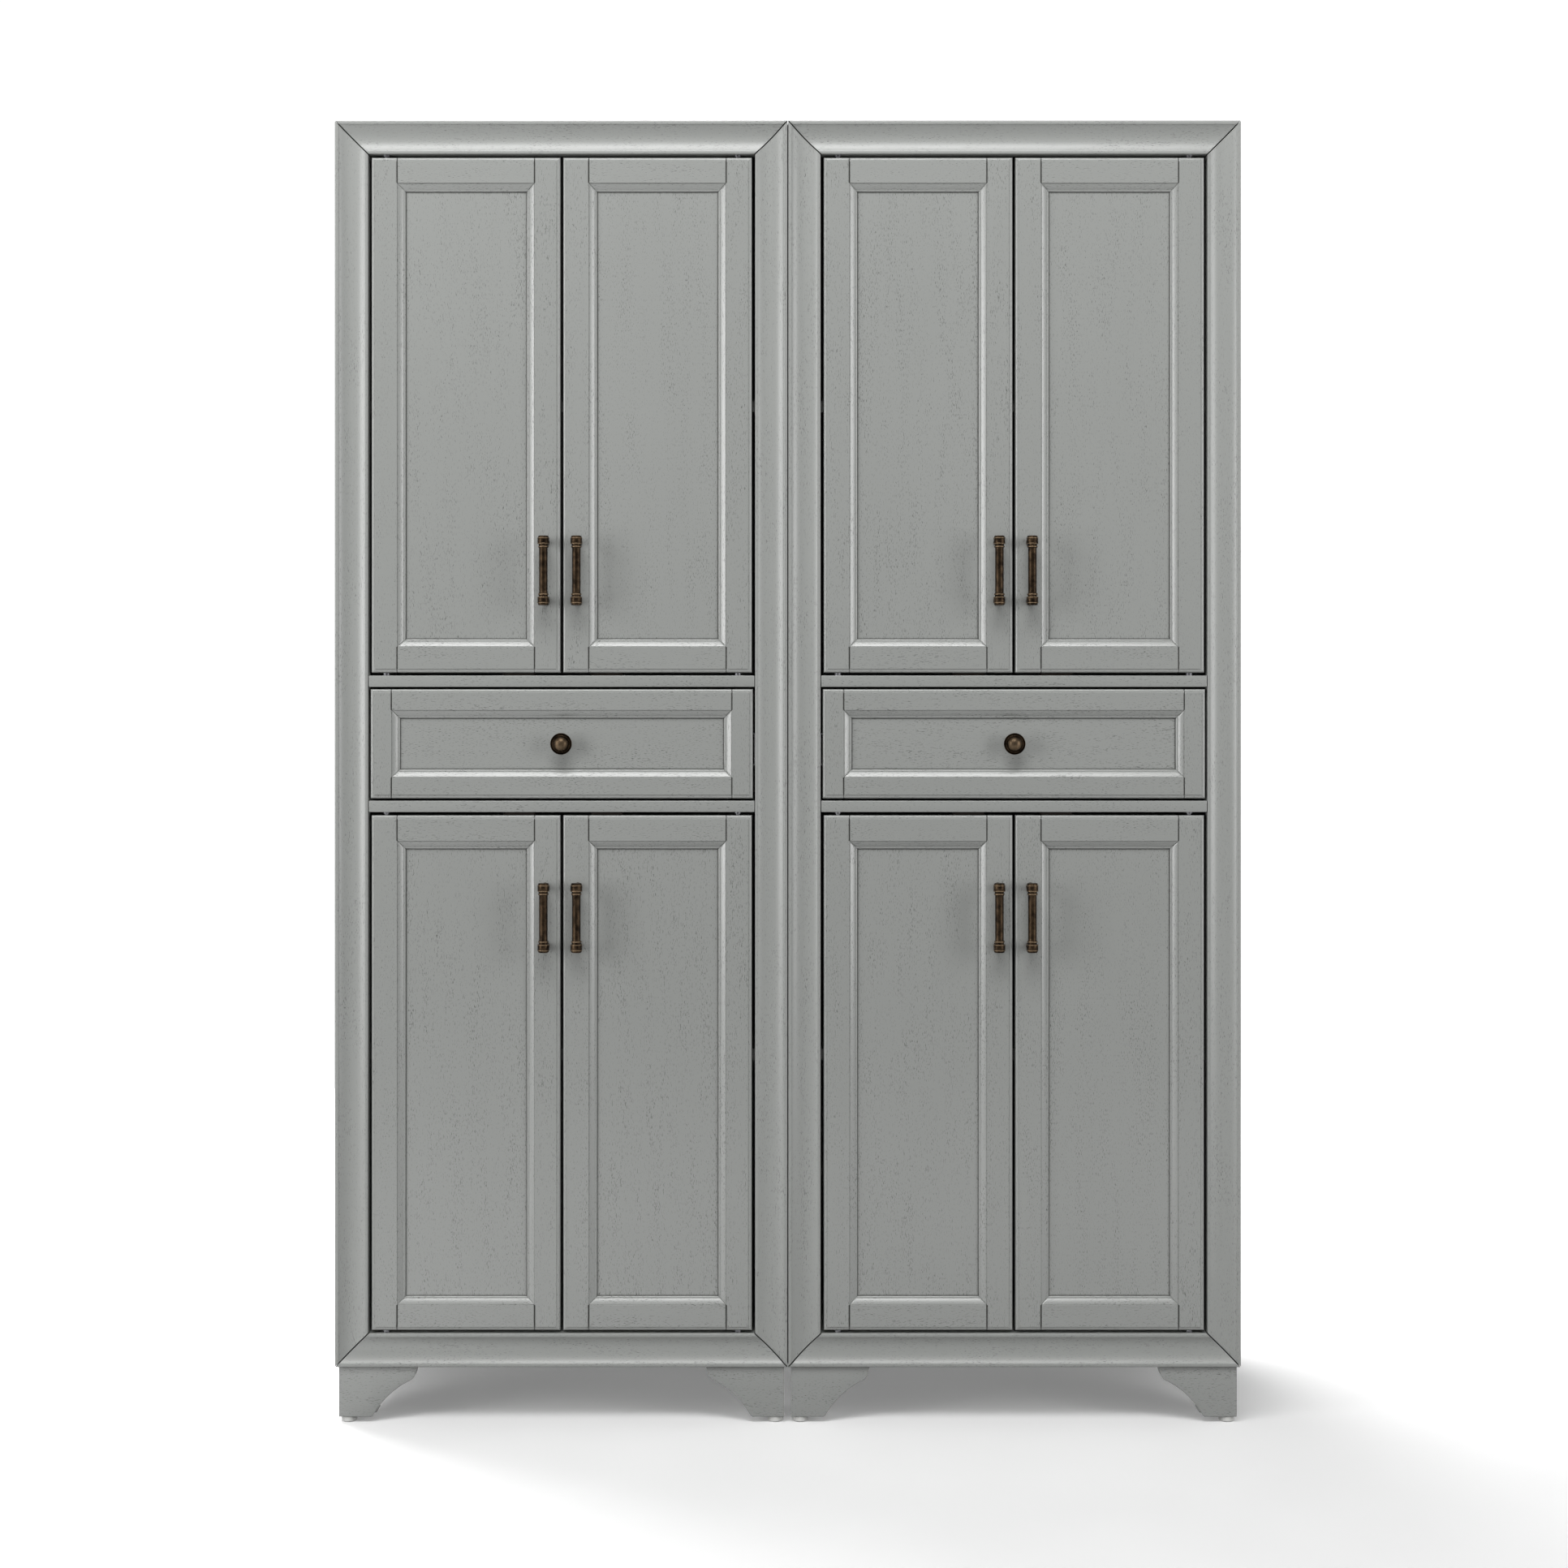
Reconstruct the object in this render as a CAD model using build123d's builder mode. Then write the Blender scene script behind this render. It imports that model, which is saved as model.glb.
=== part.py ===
from build123d import *
import os

# A pair of identical free-standing pantry cabinets, set side by side and touching.
# Each has a mitred picture-frame moulding round its front, two tall doors above a
# drawer, two tall doors below it, adjustable shelves, and bracket feet on glides.
# X runs to the right, Y to the back, Z up. The origin is on the floor, under the
# middle of the pair's outline.

# Driving dimensions, in millimetres
cabinet_width = 636.0
cabinet_height = 1829.0
cabinet_depth = 400.0  # from the moulding's outer lip to the back panel
board = 16.0  # carcass, shelves and drawer rails
member_thickness = 20.0  # doors, drawer front, moulding and feet
back_thickness = 5.0

# Feet
glide_height = 8.0
glide_radius = 11.0
glide_inset = 12.5
foot_height = 71.0
foot_length = 110.0
foot_block = 30.0
foot_inset = 5.0

# Picture-frame moulding
moulding_width = 46.0
lip_proud = 5.0  # how far the outer lip stands in front of the doors
lip_flat = 5.0
lip_round = 1.5
scoop_deepest = 3.2
scoop_middle = 25.0
inner_lip_start = 41.0
inner_lip_proud = 0.8

# Drawer between its two rails
drawer_opening_height = 160.0
lower_rail_bottom = 858.0
drawer_gap = 3.0
drawer_flat = 29.5
rail_end_gap = 1.0
rail_easing = 1.0

# Doors
door_side_gap = 4.5
door_centre_gap = 4.0
door_bottom_gap = 4.0
door_top_gap = 4.5
door_flat = 36.0
sticking = 11.5
panel_recess = 8.0
panel_thickness = 6.0
groove_depth = 8.0
panel_in_groove = 7.0

# Pivot pins of the doors
pivot_inset = 20.0
pin_radius = 3.0
pin_bore_radius = 3.05
pin_seat = 10.0
pin_reach = 11.0
pin_bore_depth = 12.5
collar_radius = 5.0
lower_collar = 3.7
upper_collar = 2.0

# Handles and knobs
handle_from_edge = 21.0
handle_from_end = 142.0
handle_standoff = 26.0
handle_half_length = 48.5
bar_radius = 6.0
cap_radius = 8.5
cap_start = 36.0
cap_round = 3.0
ring_radius = 7.3
ring_start = 31.5
ring_end = 35.0
ring_chamfer = 0.5
neck_groove_radius = 6.3
cap_chamfer = 0.8
post_spacing = 83.0
post_flange_radius = 6.2
post_flange = 2.0
post_radius = 5.2
screw_radius = 2.0
screw_bore_radius = 2.1
screw_hole_radius = 2.3
screw_head_radius = 4.5
screw_head = 2.5
post_screw_depth = 10.0
screw_tip_gap = 1.0

# Shelves on pins
shelf_middles = (511.0, 1434.0)
shelf_width = 591.0
shelf_front = 45.0
shelf_back_gap = 3.0
shelf_pin_radius = 2.5
shelf_hole_depth = 10.0
shelf_pin_seat = 9.5
shelf_pin_collar_radius = 4.0
shelf_pin_collar = 1.5
shelf_pin_peg = 7.0
shelf_hole_pitch = 32.0
shelf_pin_front = 70.0
shelf_pin_back = 345.0

# Drawer box and its runners
box_half_width = 259.0
box_board = 12.0
box_bottom_thickness = 5.0
box_depth = 340.0
box_base = 892.0
box_top = 1012.0
box_groove_base = 900.0
box_groove_depth = 6.0
box_groove_play = 0.5
runner_middle = 946.0
runner_start = 22.0
channel_length = 350.0
channel_half_height = 22.5
channel_lip = 262.0
slide_length = 330.0
slide_half_height = 18.0
slide_outer = 268.0
sheet_metal = 1.2
spacer_half_height = 24.0

# Magnetic catches
catch_size = (44.0, 14.0, 24.0)  # wide, high, deep
catch_from_middle = 62.0
catch_gap = 1.3
strike_size = (36.0, 1.0, 12.0)  # wide, thick, high
strike_edge = 1.0

# Outlines of shaped parts, as points along their sections
outer_edge = ((0, 4.3), (1.0, 1.9), (3.4, 0.9), (4.6, 0.9), (5.4, 0))  # in from the edge, back
quirk = ((0.4, 1.1), (1.0, 1.1))  # from here on, in from the end of the flat, back
ovolo = ((4.66, 2.92), (8.0, 5.2))
fillet_strip = ((8.4, 5.6), (9.1, 5.6))
foot_sweep = ((46.0, 0), (72.0, 32.0), (97.0, 49.5))  # from the corner, above the foot's sole
foot_shoulder = ((97.0, 49.5), (104.5, 54.5), (107.8, 61.5))
knob_stem = ((8.5, 0), (8.5, -2.0), (6.5, -3.5), (6.5, -11.0))  # from the axis, before the panel
knob_cup = ((6.5, -11.0), (9.0, -14.2), (13.4, -15.5))
knob_rim = ((13.4, -15.5), (15.2, -16.8), (15.2, -18.6), (14.0, -20.0), (12.6, -20.0))
knob_crown = (0, -26.0)
knob_bore_depth = 13.0

# Places worked out from these
handle_projection = handle_standoff + cap_radius
face_y = handle_projection - (handle_projection + cabinet_depth - lip_proud) / 2
cabinet_middles = {"left": -cabinet_width / 2, "right": cabinet_width / 2}
base_z = glide_height + foot_height
opening_half = cabinet_width / 2 - moulding_width
opening_bottom = base_z + moulding_width
opening_top = cabinet_height - moulding_width
carcass_half = cabinet_width / 2 - foot_inset
inner_half = carcass_half - board
carcass_back = cabinet_depth - lip_proud
carcass_inner_back = carcass_back - back_thickness
carcass_top = cabinet_height - foot_inset
upper_rail_bottom = lower_rail_bottom + board + drawer_opening_height
divider_bottoms = (lower_rail_bottom, upper_rail_bottom)
door_bottoms = {
    "lower": opening_bottom + door_bottom_gap,
    "upper": upper_rail_bottom + board + door_bottom_gap,
}
door_width = opening_half - door_side_gap - door_centre_gap / 2
door_height = lower_rail_bottom - opening_bottom - door_bottom_gap - door_top_gap
pivot_x = opening_half - door_side_gap - pivot_inset
pivot_y = member_thickness / 2
drawer_width = 2 * (opening_half - drawer_gap)
drawer_height = drawer_opening_height - 2 * drawer_gap
drawer_bottom = lower_rail_bottom + board + drawer_gap
drawer_middle = drawer_bottom + drawer_height / 2
MIN, MID, MAX = Align.MIN, Align.CENTER, Align.MAX
RAIL_PLANE = Plane(origin=(0, 0, 0), x_dir=(0, 0, 1), z_dir=(-1, 0, 0))


def plank(x, y, z):
    """A plain board filling three spans, each given as (from, to)."""
    with BuildPart(Plane((x[0], y[0], z[0]))) as piece:
        Box(x[1] - x[0], y[1] - y[0], z[1] - z[0], align=(MIN, MIN, MIN))
    return piece.part


def bored(piece, places, radius, depth, direction):
    """The piece with blind holes of one size, each starting at a place and running one way."""
    with BuildPart() as result:
        add(piece)
        for place in places:
            with BuildSketch(Plane(origin=place, z_dir=direction)):
                Circle(radius)
            extrude(amount=depth, mode=Mode.SUBTRACT)
    return result.part


def write(name, *pieces):
    """Writes one node; a node of several solids keeps them apart as a group."""
    node = pieces[0] if len(pieces) == 1 else Compound(children=list(pieces))
    node.label = name
    export_step(node, f"parts/{name}.step")


def moved(piece, x=0.0, y=0.0, z=0.0, turn=0.0):
    """A copy turned about Y and carried to a place."""
    return piece.moved(Location((x, y, z), (0, turn, 0)))


# ---- Picture-frame moulding ----


def moulding_length(length):
    """One mitred length lying along X with its outer edge at z = 0, its back at +Y."""
    lip_corner = (-lip_proud, -lip_flat)
    scoop_end = (-inner_lip_proud, -inner_lip_start)
    with BuildPart() as piece:
        with BuildSketch(Plane.YZ) as section:
            with BuildLine():
                Line((member_thickness, 0), (lip_round - lip_proud, 0))
                TangentArc(
                    (lip_round - lip_proud, 0), (-lip_proud, -lip_round), tangent=(-1, 0)
                )
                Line((-lip_proud, -lip_round), lip_corner)
                ThreePointArc(lip_corner, (scoop_deepest, -scoop_middle), scoop_end)
                Line(scoop_end, (-inner_lip_proud, 1 - moulding_width))
                TangentArc(
                    (-inner_lip_proud, 1 - moulding_width),
                    (1 - inner_lip_proud, -moulding_width),
                    tangent=(0, -1),
                )
                Polyline(
                    (1 - inner_lip_proud, -moulding_width),
                    (member_thickness, -moulding_width),
                    (member_thickness, 0),
                )
            make_face()
            fillet(section.vertices().sort_by_distance((*lip_corner, 0))[0], radius=2)
            fillet(section.vertices().sort_by_distance((*scoop_end, 0))[0], radius=3)
        extrude(amount=length / 2, both=True)
        with BuildSketch(Plane.XZ):
            with BuildLine():
                Polyline(
                    (-length / 2, 0),
                    (length / 2, 0),
                    (length / 2 - moulding_width, -moulding_width),
                    (moulding_width - length / 2, -moulding_width),
                    close=True,
                )
            make_face()
        extrude(amount=2 * member_thickness, both=True, mode=Mode.INTERSECT)
    return piece.part


pivot_xs = (-pivot_x, pivot_x)
inner_edge = [(x, pivot_y, -moulding_width) for x in pivot_xs]
across = bored(moulding_length(cabinet_width), inner_edge, pin_radius, pin_seat, (0, 0, 1))
upright = moulding_length(cabinet_height - base_z)
upright_middle = (cabinet_height + base_z) / 2
for cabinet, middle in cabinet_middles.items():
    write(
        f"{cabinet}_cabinet_face_moulding",
        moved(across, middle, face_y, cabinet_height),
        moved(across, middle, face_y, base_z, 180),
        moved(upright, middle - cabinet_width / 2, face_y, upright_middle, -90),
        moved(upright, middle + cabinet_width / 2, face_y, upright_middle, 90),
    )

# ---- Drawer rails: the front edges of the two dividers, with seats for the pivot pins ----


def drawer_rail(seat_side):
    """A rail across the opening with eased long edges; seats open at its bottom or its top."""
    half = opening_half - rail_end_gap
    with BuildPart() as piece:
        with BuildSketch(Plane.YZ.offset(-half)):
            Rectangle(member_thickness, board, align=(MIN, MIN))
        extrude(amount=2 * half)
        fillet(piece.edges().filter_by(Axis.X).group_by(Axis.Y)[0], radius=rail_easing)
    seat_z = 0 if seat_side == "bottom" else board
    direction = (0, 0, 1) if seat_side == "bottom" else (0, 0, -1)
    seats = [(x, pivot_y, seat_z) for x in pivot_xs]
    return bored(piece.part, seats, pin_radius, pin_seat, direction)


rails = (drawer_rail("bottom"), drawer_rail("top"))
for cabinet, middle in cabinet_middles.items():
    placed = [moved(r, middle, face_y, z) for r, z in zip(rails, divider_bottoms)]
    write(f"{cabinet}_cabinet_drawer_rails", *placed)

# ---- Carcass ----

carcass_y = (member_thickness, carcass_inner_back)
side_panel = plank((inner_half, carcass_half), carcass_y, (base_z, carcass_top))
shelf_pin_heights = [z - board / 2 - shelf_pin_radius for z in shelf_middles]
shelf_pin_places = [
    (inner_half, y, z) for y in (shelf_pin_front, shelf_pin_back) for z in shelf_pin_heights
]
shelf_holes = [
    (x, y, z + step * shelf_hole_pitch) for x, y, z in shelf_pin_places for step in (-1, 0, 1)
]
side_panel = bored(side_panel, shelf_holes, shelf_pin_radius, shelf_hole_depth, (1, 0, 0))
other_side = side_panel.mirror(Plane.YZ)
across_inside = (-inner_half, inner_half)
top_panel = plank(across_inside, carcass_y, (carcass_top - board, carcass_top))
bottom_panel = plank(across_inside, carcass_y, (opening_bottom - board, opening_bottom))
back_panel = plank(
    (-carcass_half, carcass_half), (carcass_inner_back, carcass_back), (base_z, carcass_top)
)
dividers = [plank(across_inside, carcass_y, (z, z + board)) for z in divider_bottoms]
shelf_y = (shelf_front, carcass_inner_back - shelf_back_gap)
shelves = [
    plank((-shelf_width / 2, shelf_width / 2), shelf_y, (z - board / 2, z + board / 2))
    for z in shelf_middles
]
carcass = {
    "side_panels": (other_side, side_panel),
    "top_panel": (top_panel,),
    "bottom_panel": (bottom_panel,),
    "back_panel": (back_panel,),
    "divider_panels": dividers,
    "shelves": shelves,
}
for cabinet, middle in cabinet_middles.items():
    for name, pieces in carcass.items():
        write(f"{cabinet}_cabinet_{name}", *[moved(p, middle, face_y) for p in pieces])

# ---- Shelf pins: a seat in the side panel, a peg under the shelf, and between the two a
# collar that stands in the narrow gap beside the shelf's end ----

with BuildPart(Plane.YZ) as shelf_pin:
    Cylinder(shelf_pin_radius, shelf_pin_seat, align=(MID, MID, MIN))
    Cylinder(shelf_pin_collar_radius, shelf_pin_collar, align=(MID, MID, MAX))
    Cylinder(shelf_pin_radius, shelf_pin_collar + shelf_pin_peg, align=(MID, MID, MAX))
shelf_pins = []
for middle in cabinet_middles.values():
    for x, y, z in shelf_pin_places:
        placed_pin = moved(shelf_pin.part, x, y, z)
        for pin in (placed_pin, placed_pin.mirror(Plane.YZ)):
            shelf_pins.append(moved(pin, middle, face_y))

# ---- Bracket feet ----

with BuildPart() as foot_board:
    with BuildSketch(Plane.XZ.offset(-member_thickness)):
        with BuildLine():
            Line((0, 0), foot_sweep[0])
            ThreePointArc(*foot_sweep)
            ThreePointArc(*foot_shoulder)
            Polyline(foot_shoulder[2], (foot_length, foot_height), (0, foot_height), (0, 0))
        make_face()
    extrude(amount=member_thickness)
    with BuildSketch(Plane.XY):
        with BuildLine():
            Polyline(
                (0, 0),
                (foot_length, 0),
                (foot_length, member_thickness),
                (member_thickness, member_thickness),
                close=True,
            )
        make_face()
    extrude(amount=foot_height, mode=Mode.INTERSECT)
diagonal = Plane(origin=(0, 0, 0), x_dir=(0, 0, 1), z_dir=(1, -1, 0))
block_span = (member_thickness, member_thickness + foot_block)
foot_pieces = (
    foot_board.part,
    foot_board.part.mirror(diagonal),
    plank(block_span, block_span, (0, opening_bottom - board - glide_height)),
)
with BuildPart() as glide:
    Cylinder(glide_radius, glide_height, align=(MID, MID, MIN))
    fillet(glide.faces().sort_by(Axis.Z)[0].edges(), radius=2)
corner_glide = moved(glide.part, glide_inset, glide_inset)


def at_four_corners(piece, z):
    """Copies of a left-front corner's piece at all four corners of one cabinet."""
    left_front = moved(piece, -carcass_half, 0, z)
    left_back = left_front.mirror(Plane.XZ.offset(-carcass_back / 2))
    left = [left_front, left_back]
    return left + [p.mirror(Plane.YZ) for p in left]


foot_glides = []
for cabinet, middle in cabinet_middles.items():
    feet = [f for piece in foot_pieces for f in at_four_corners(piece, glide_height)]
    write(f"{cabinet}_cabinet_bracket_feet", *[moved(f, middle, face_y) for f in feet])
    foot_glides += [moved(g, middle, face_y) for g in at_four_corners(corner_glide, 0)]

# ---- Framed fronts: two stiles, two rails and a panel in their grooves ----


def member_section(flat):
    """Section of a stile or rail: x runs in from the outer edge, y back from the face."""
    inner = flat + sticking
    shaped = [(flat + x, y) for x, y in (*quirk, *ovolo, *fillet_strip)]
    with BuildSketch() as section:
        with BuildLine():
            Line((0, member_thickness), outer_edge[0])
            ThreePointArc(*outer_edge[:3])
            Polyline(*outer_edge[2:], (flat, 0), *shaped[:2])
            ThreePointArc(*shaped[1:4])
            Polyline(*shaped[3:])
            TangentArc(shaped[5], (inner, panel_recess), tangent=(1, 0))
            Polyline(
                (inner, panel_recess),
                (inner - groove_depth, panel_recess),
                (inner - groove_depth, panel_recess + panel_thickness),
                (inner, panel_recess + panel_thickness),
                (inner, member_thickness),
                (0, member_thickness),
            )
        make_face()
    return section.sketch


def edge_profile(height):
    """Side view of a whole front: its face with the rounded edge at its top and bottom."""
    end = [(y, x) for x, y in outer_edge]
    start = end[0][0]
    with BuildSketch() as profile:
        with BuildLine() as edge:
            ThreePointArc(*end[:3])
            Polyline(*end[2:], (0, height / 2))
            mirror(edge.edges(), about=Plane.XZ.offset(-height / 2))
            Polyline((start, 0), (member_thickness, 0), (member_thickness, height), (start, height))
        make_face()
    return profile.sketch


def stile(height, flat):
    """The left stile, its outer edge at x = 0, its face at y = 0 and its foot at z = 0."""
    inner = flat + sticking
    with BuildPart() as piece:
        with BuildSketch():
            add(member_section(flat))
        extrude(amount=height)
        with BuildSketch(Plane.YZ):
            add(edge_profile(height))
        extrude(amount=2 * inner, mode=Mode.INTERSECT)
        with BuildSketch(Plane.XZ):
            with BuildLine():
                Polyline(
                    (0, 0),
                    (flat, 0),
                    (flat, flat),
                    (inner, inner),
                    (inner, height - inner),
                    (flat, height - flat),
                    (flat, height),
                    (0, height),
                    close=True,
                )
            make_face()
        extrude(amount=-member_thickness, mode=Mode.INTERSECT)
    return piece.part


def rail(width, flat):
    """The bottom rail, between the stiles of a front that starts at x = 0."""
    inner = flat + sticking
    with BuildPart() as piece:
        with BuildSketch(RAIL_PLANE):
            add(member_section(flat))
        extrude(amount=-width)
        with BuildSketch(Plane.XZ):
            with BuildLine():
                Polyline(
                    (flat, 0),
                    (width - flat, 0),
                    (width - flat, flat),
                    (width - inner, inner),
                    (inner, inner),
                    (flat, flat),
                    close=True,
                )
            make_face()
        extrude(amount=-member_thickness, mode=Mode.INTERSECT)
    return piece.part


def front_members(width, height, flat):
    """Left stile, right stile, bottom rail and top rail of one front."""
    left = stile(height, flat)
    bottom = rail(width, flat)
    return {
        "left": left,
        "right": left.mirror(Plane.YZ.offset(width / 2)),
        "bottom": bottom,
        "top": bottom.mirror(Plane.XY.offset(height / 2)),
    }


def front_panel(width, height, flat):
    """The flat panel that the members' grooves hold."""
    edge = flat + sticking - panel_in_groove
    depth = (panel_recess, panel_recess + panel_thickness)
    return plank((edge, width - edge), depth, (edge, height - edge))


# ---- Bar handle, on its own axis along Z, with the door's face at y = 0 ----

with BuildPart() as handle:
    with BuildSketch(Plane.XZ.offset(handle_standoff)) as half_profile:
        with BuildLine():
            Polyline(
                (0, 0),
                (bar_radius, 0),
                (bar_radius, ring_start),
                (ring_radius, ring_start + ring_chamfer),
                (ring_radius, ring_end - ring_chamfer),
                (neck_groove_radius, ring_end),
                (neck_groove_radius, cap_start),
                (cap_radius, cap_start + cap_chamfer),
                (cap_radius, handle_half_length - cap_round),
            )
            TangentArc(
                (cap_radius, handle_half_length - cap_round),
                (cap_radius - cap_round, handle_half_length),
                tangent=(0, 1),
            )
            Polyline(
                (cap_radius - cap_round, handle_half_length), (0, handle_half_length), (0, 0)
            )
        make_face()
    revolve(axis=Axis((0, -handle_standoff, 0), (0, 0, 1)))
    mirror(about=Plane.XY)
    for post_z in (-post_spacing / 2, post_spacing / 2):
        with BuildSketch(Plane.XZ.offset(0)):
            with Locations((0, post_z)):
                Circle(post_flange_radius)
        extrude(amount=post_flange)
        with BuildSketch(Plane.XZ.offset(post_flange)):
            with Locations((0, post_z)):
                Circle(post_radius)
        extrude(amount=handle_standoff - post_flange)
        with BuildSketch(Plane.XZ):
            with Locations((0, post_z)):
                Circle(screw_bore_radius)
        extrude(amount=post_screw_depth, mode=Mode.SUBTRACT)


def screw(head_y, tip_y):
    """A machine screw along Y, its head behind head_y and its tip at tip_y in front."""
    with BuildPart() as piece:
        with BuildSketch(Plane.XZ.offset(-head_y)):
            Circle(screw_radius)
        extrude(amount=head_y - tip_y)
        with BuildSketch(Plane.XZ.offset(-head_y)):
            Circle(screw_head_radius)
        extrude(amount=-screw_head)
    return piece.part


handle_screw = screw(member_thickness, screw_tip_gap - post_screw_depth)
handle_pieces = (
    handle.part,
    moved(handle_screw, z=-post_spacing / 2),
    moved(handle_screw, z=post_spacing / 2),
)

# ---- Doors: built once as an upper left door from its lower outer corner, then mirrored ----

door = front_members(door_width, door_height, door_flat)
pivot_bores = {
    (pivot_inset, pivot_y, 0): (0, 0, 1),
    (pivot_inset, pivot_y, door_height): (0, 0, -1),
}
for place, direction in pivot_bores.items():
    door["left"] = bored(door["left"], [place], pin_bore_radius, pin_bore_depth, direction)
handle_x = door_width - handle_from_edge
screw_places = [
    (handle_x, 0, handle_from_end + side * post_spacing / 2) for side in (-1, 1)
]
door["right"] = bored(
    door["right"], screw_places, screw_hole_radius, member_thickness, (0, 1, 0)
)
catch_x = door_width + door_centre_gap / 2 - catch_from_middle
strike_wide, strike_thick, strike_high = strike_size
strike_plate = plank(
    (catch_x - strike_wide / 2, catch_x + strike_wide / 2),
    (member_thickness, member_thickness + strike_thick),
    (strike_edge, strike_edge + strike_high),
)
door_kit = {
    "frame": (*door.values(), strike_plate),
    "panel": (front_panel(door_width, door_height, door_flat),),
    "handle": [moved(p, handle_x, 0, handle_from_end) for p in handle_pieces],
}


def place_door(piece, level, side, middle):
    """A door's piece carried from its own corner to its opening, mirrored where it must be."""
    if level == "lower":
        piece = piece.mirror(Plane.XY.offset(door_height / 2))
    piece = moved(piece, door_side_gap - opening_half, 0, door_bottoms[level])
    if side == "right":
        piece = piece.mirror(Plane.YZ)
    return moved(piece, middle, face_y)


for cabinet, middle in cabinet_middles.items():
    for level in ("upper", "lower"):
        for side in ("left", "right"):
            for name, pieces in door_kit.items():
                write(
                    f"{cabinet}_cabinet_{level}_{side}_door_{name}",
                    *[place_door(p, level, side, middle) for p in pieces],
                )

# ---- Pivot pins: seated in the moulding or rail, with a collar in the gap ----


def pivot_pin(collar_height):
    """A pin standing up from its seat at z = 0, with its collar just above it."""
    with BuildPart(Plane.XY.offset(-pin_seat)) as pin:
        Cylinder(pin_radius, pin_seat, align=(MID, MID, MIN))
    with BuildPart() as upper:
        add(pin.part)
        Cylinder(collar_radius, collar_height, align=(MID, MID, MIN))
        Cylinder(pin_radius, pin_reach + collar_height, align=(MID, MID, MIN))
    return upper.part


lower_pin = pivot_pin(lower_collar)
upper_pin = pivot_pin(upper_collar).mirror(Plane.XY)
pivot_pins = []
for middle in cabinet_middles.values():
    for x in pivot_xs:
        for z in (opening_bottom, upper_rail_bottom + board):
            pivot_pins.append(moved(lower_pin, middle + x, face_y + pivot_y, z))
        for z in (lower_rail_bottom, opening_top):
            pivot_pins.append(moved(upper_pin, middle + x, face_y + pivot_y, z))

# ---- Magnetic catches on the dividers, behind the doors' meeting edges ----

catch_wide, catch_high, catch_deep = catch_size
catch_front = face_y + member_thickness + catch_gap
catches = []
for middle in cabinet_middles.values():
    for x in (middle - catch_from_middle, middle + catch_from_middle):
        for z in (upper_rail_bottom + board, lower_rail_bottom - catch_high):
            catches.append(
                plank(
                    (x - catch_wide / 2, x + catch_wide / 2),
                    (catch_front, catch_front + catch_deep),
                    (z, z + catch_high),
                )
            )

# ---- Drawer ----

drawer_members = front_members(drawer_width, drawer_height, drawer_flat)
drawer_panel = front_panel(drawer_width, drawer_height, drawer_flat)
knob_place = (drawer_width / 2, 0, drawer_height / 2)
drawer_panel = bored(drawer_panel, [knob_place], screw_hole_radius, member_thickness, (0, 1, 0))

box_y = (member_thickness, member_thickness + box_depth)
box_z = (box_base, box_top)
box_inner = box_half_width - box_board
groove_half = box_inner + box_groove_depth
groove_y = (box_y[0] + box_board - box_groove_depth, box_y[1] - box_board + box_groove_depth)
box_blanks = (
    plank((-box_half_width, -box_inner), box_y, box_z),
    plank((box_inner, box_half_width), box_y, box_z),
    plank((-box_inner, box_inner), (box_y[0], box_y[0] + box_board), box_z),
    plank((-box_inner, box_inner), (box_y[1] - box_board, box_y[1]), box_z),
)
groove_z = (box_groove_base, box_groove_base + box_bottom_thickness)
groove = plank((-groove_half, groove_half), groove_y, groove_z)
box_boards = []
for blank in box_blanks:
    with BuildPart() as box_part:
        add(blank)
        add(groove, mode=Mode.SUBTRACT)
    box_boards.append(box_part.part)
box_boards[2] = bored(
    box_boards[2], [(0, box_y[0], drawer_middle)], screw_hole_radius, box_board, (0, 1, 0)
)
box_bottom = plank(
    (box_groove_play - groove_half, groove_half - box_groove_play),
    (groove_y[0] + box_groove_play, groove_y[1] - box_groove_play),
    groove_z,
)

# The slide is a shallow channel open away from the drawer; the fixed channel faces it.
slide_y = (runner_start, runner_start + slide_length)
with BuildPart() as slide:
    with BuildSketch(Plane.XZ.offset(-slide_y[0])):
        with Locations((box_half_width, runner_middle)):
            Rectangle(slide_outer - box_half_width, 2 * slide_half_height, align=(MIN, MID))
        with Locations((box_half_width + sheet_metal, runner_middle)):
            Rectangle(
                slide_outer - box_half_width,
                2 * (slide_half_height - sheet_metal),
                align=(MIN, MID),
                mode=Mode.SUBTRACT,
            )
    extrude(amount=-slide_length)
with BuildPart() as channel:
    with BuildSketch(Plane.XZ.offset(-runner_start)):
        with Locations((channel_lip, runner_middle)):
            Rectangle(opening_half - channel_lip, 2 * channel_half_height, align=(MIN, MID))
        with Locations((opening_half - sheet_metal, runner_middle)):
            Rectangle(
                opening_half,
                2 * (channel_half_height - sheet_metal),
                align=(MAX, MID),
                mode=Mode.SUBTRACT,
            )
    extrude(amount=-channel_length)
spacer = plank(
    (opening_half, inner_half),
    (runner_start, runner_start + channel_length),
    (runner_middle - spacer_half_height, runner_middle + spacer_half_height),
)

# The knob's section: x is its radius, y its distance in front of the panel.
with BuildPart() as knob:
    with BuildSketch(Plane.XY) as knob_half:
        with BuildLine():
            Polyline((screw_bore_radius, 0), *knob_stem)
            ThreePointArc(*knob_cup)
            Polyline(*knob_rim)
            TangentArc(knob_crown, knob_rim[-1], tangent=(1, 0))
            Polyline(
                knob_crown,
                (0, -knob_bore_depth),
                (screw_bore_radius, -knob_bore_depth),
                (screw_bore_radius, 0),
            )
        make_face()
    revolve(axis=Axis.Y)
knob_screw_tip = panel_recess + screw_tip_gap - knob_bore_depth
knob_screw = screw(member_thickness + box_board, knob_screw_tip)

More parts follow.
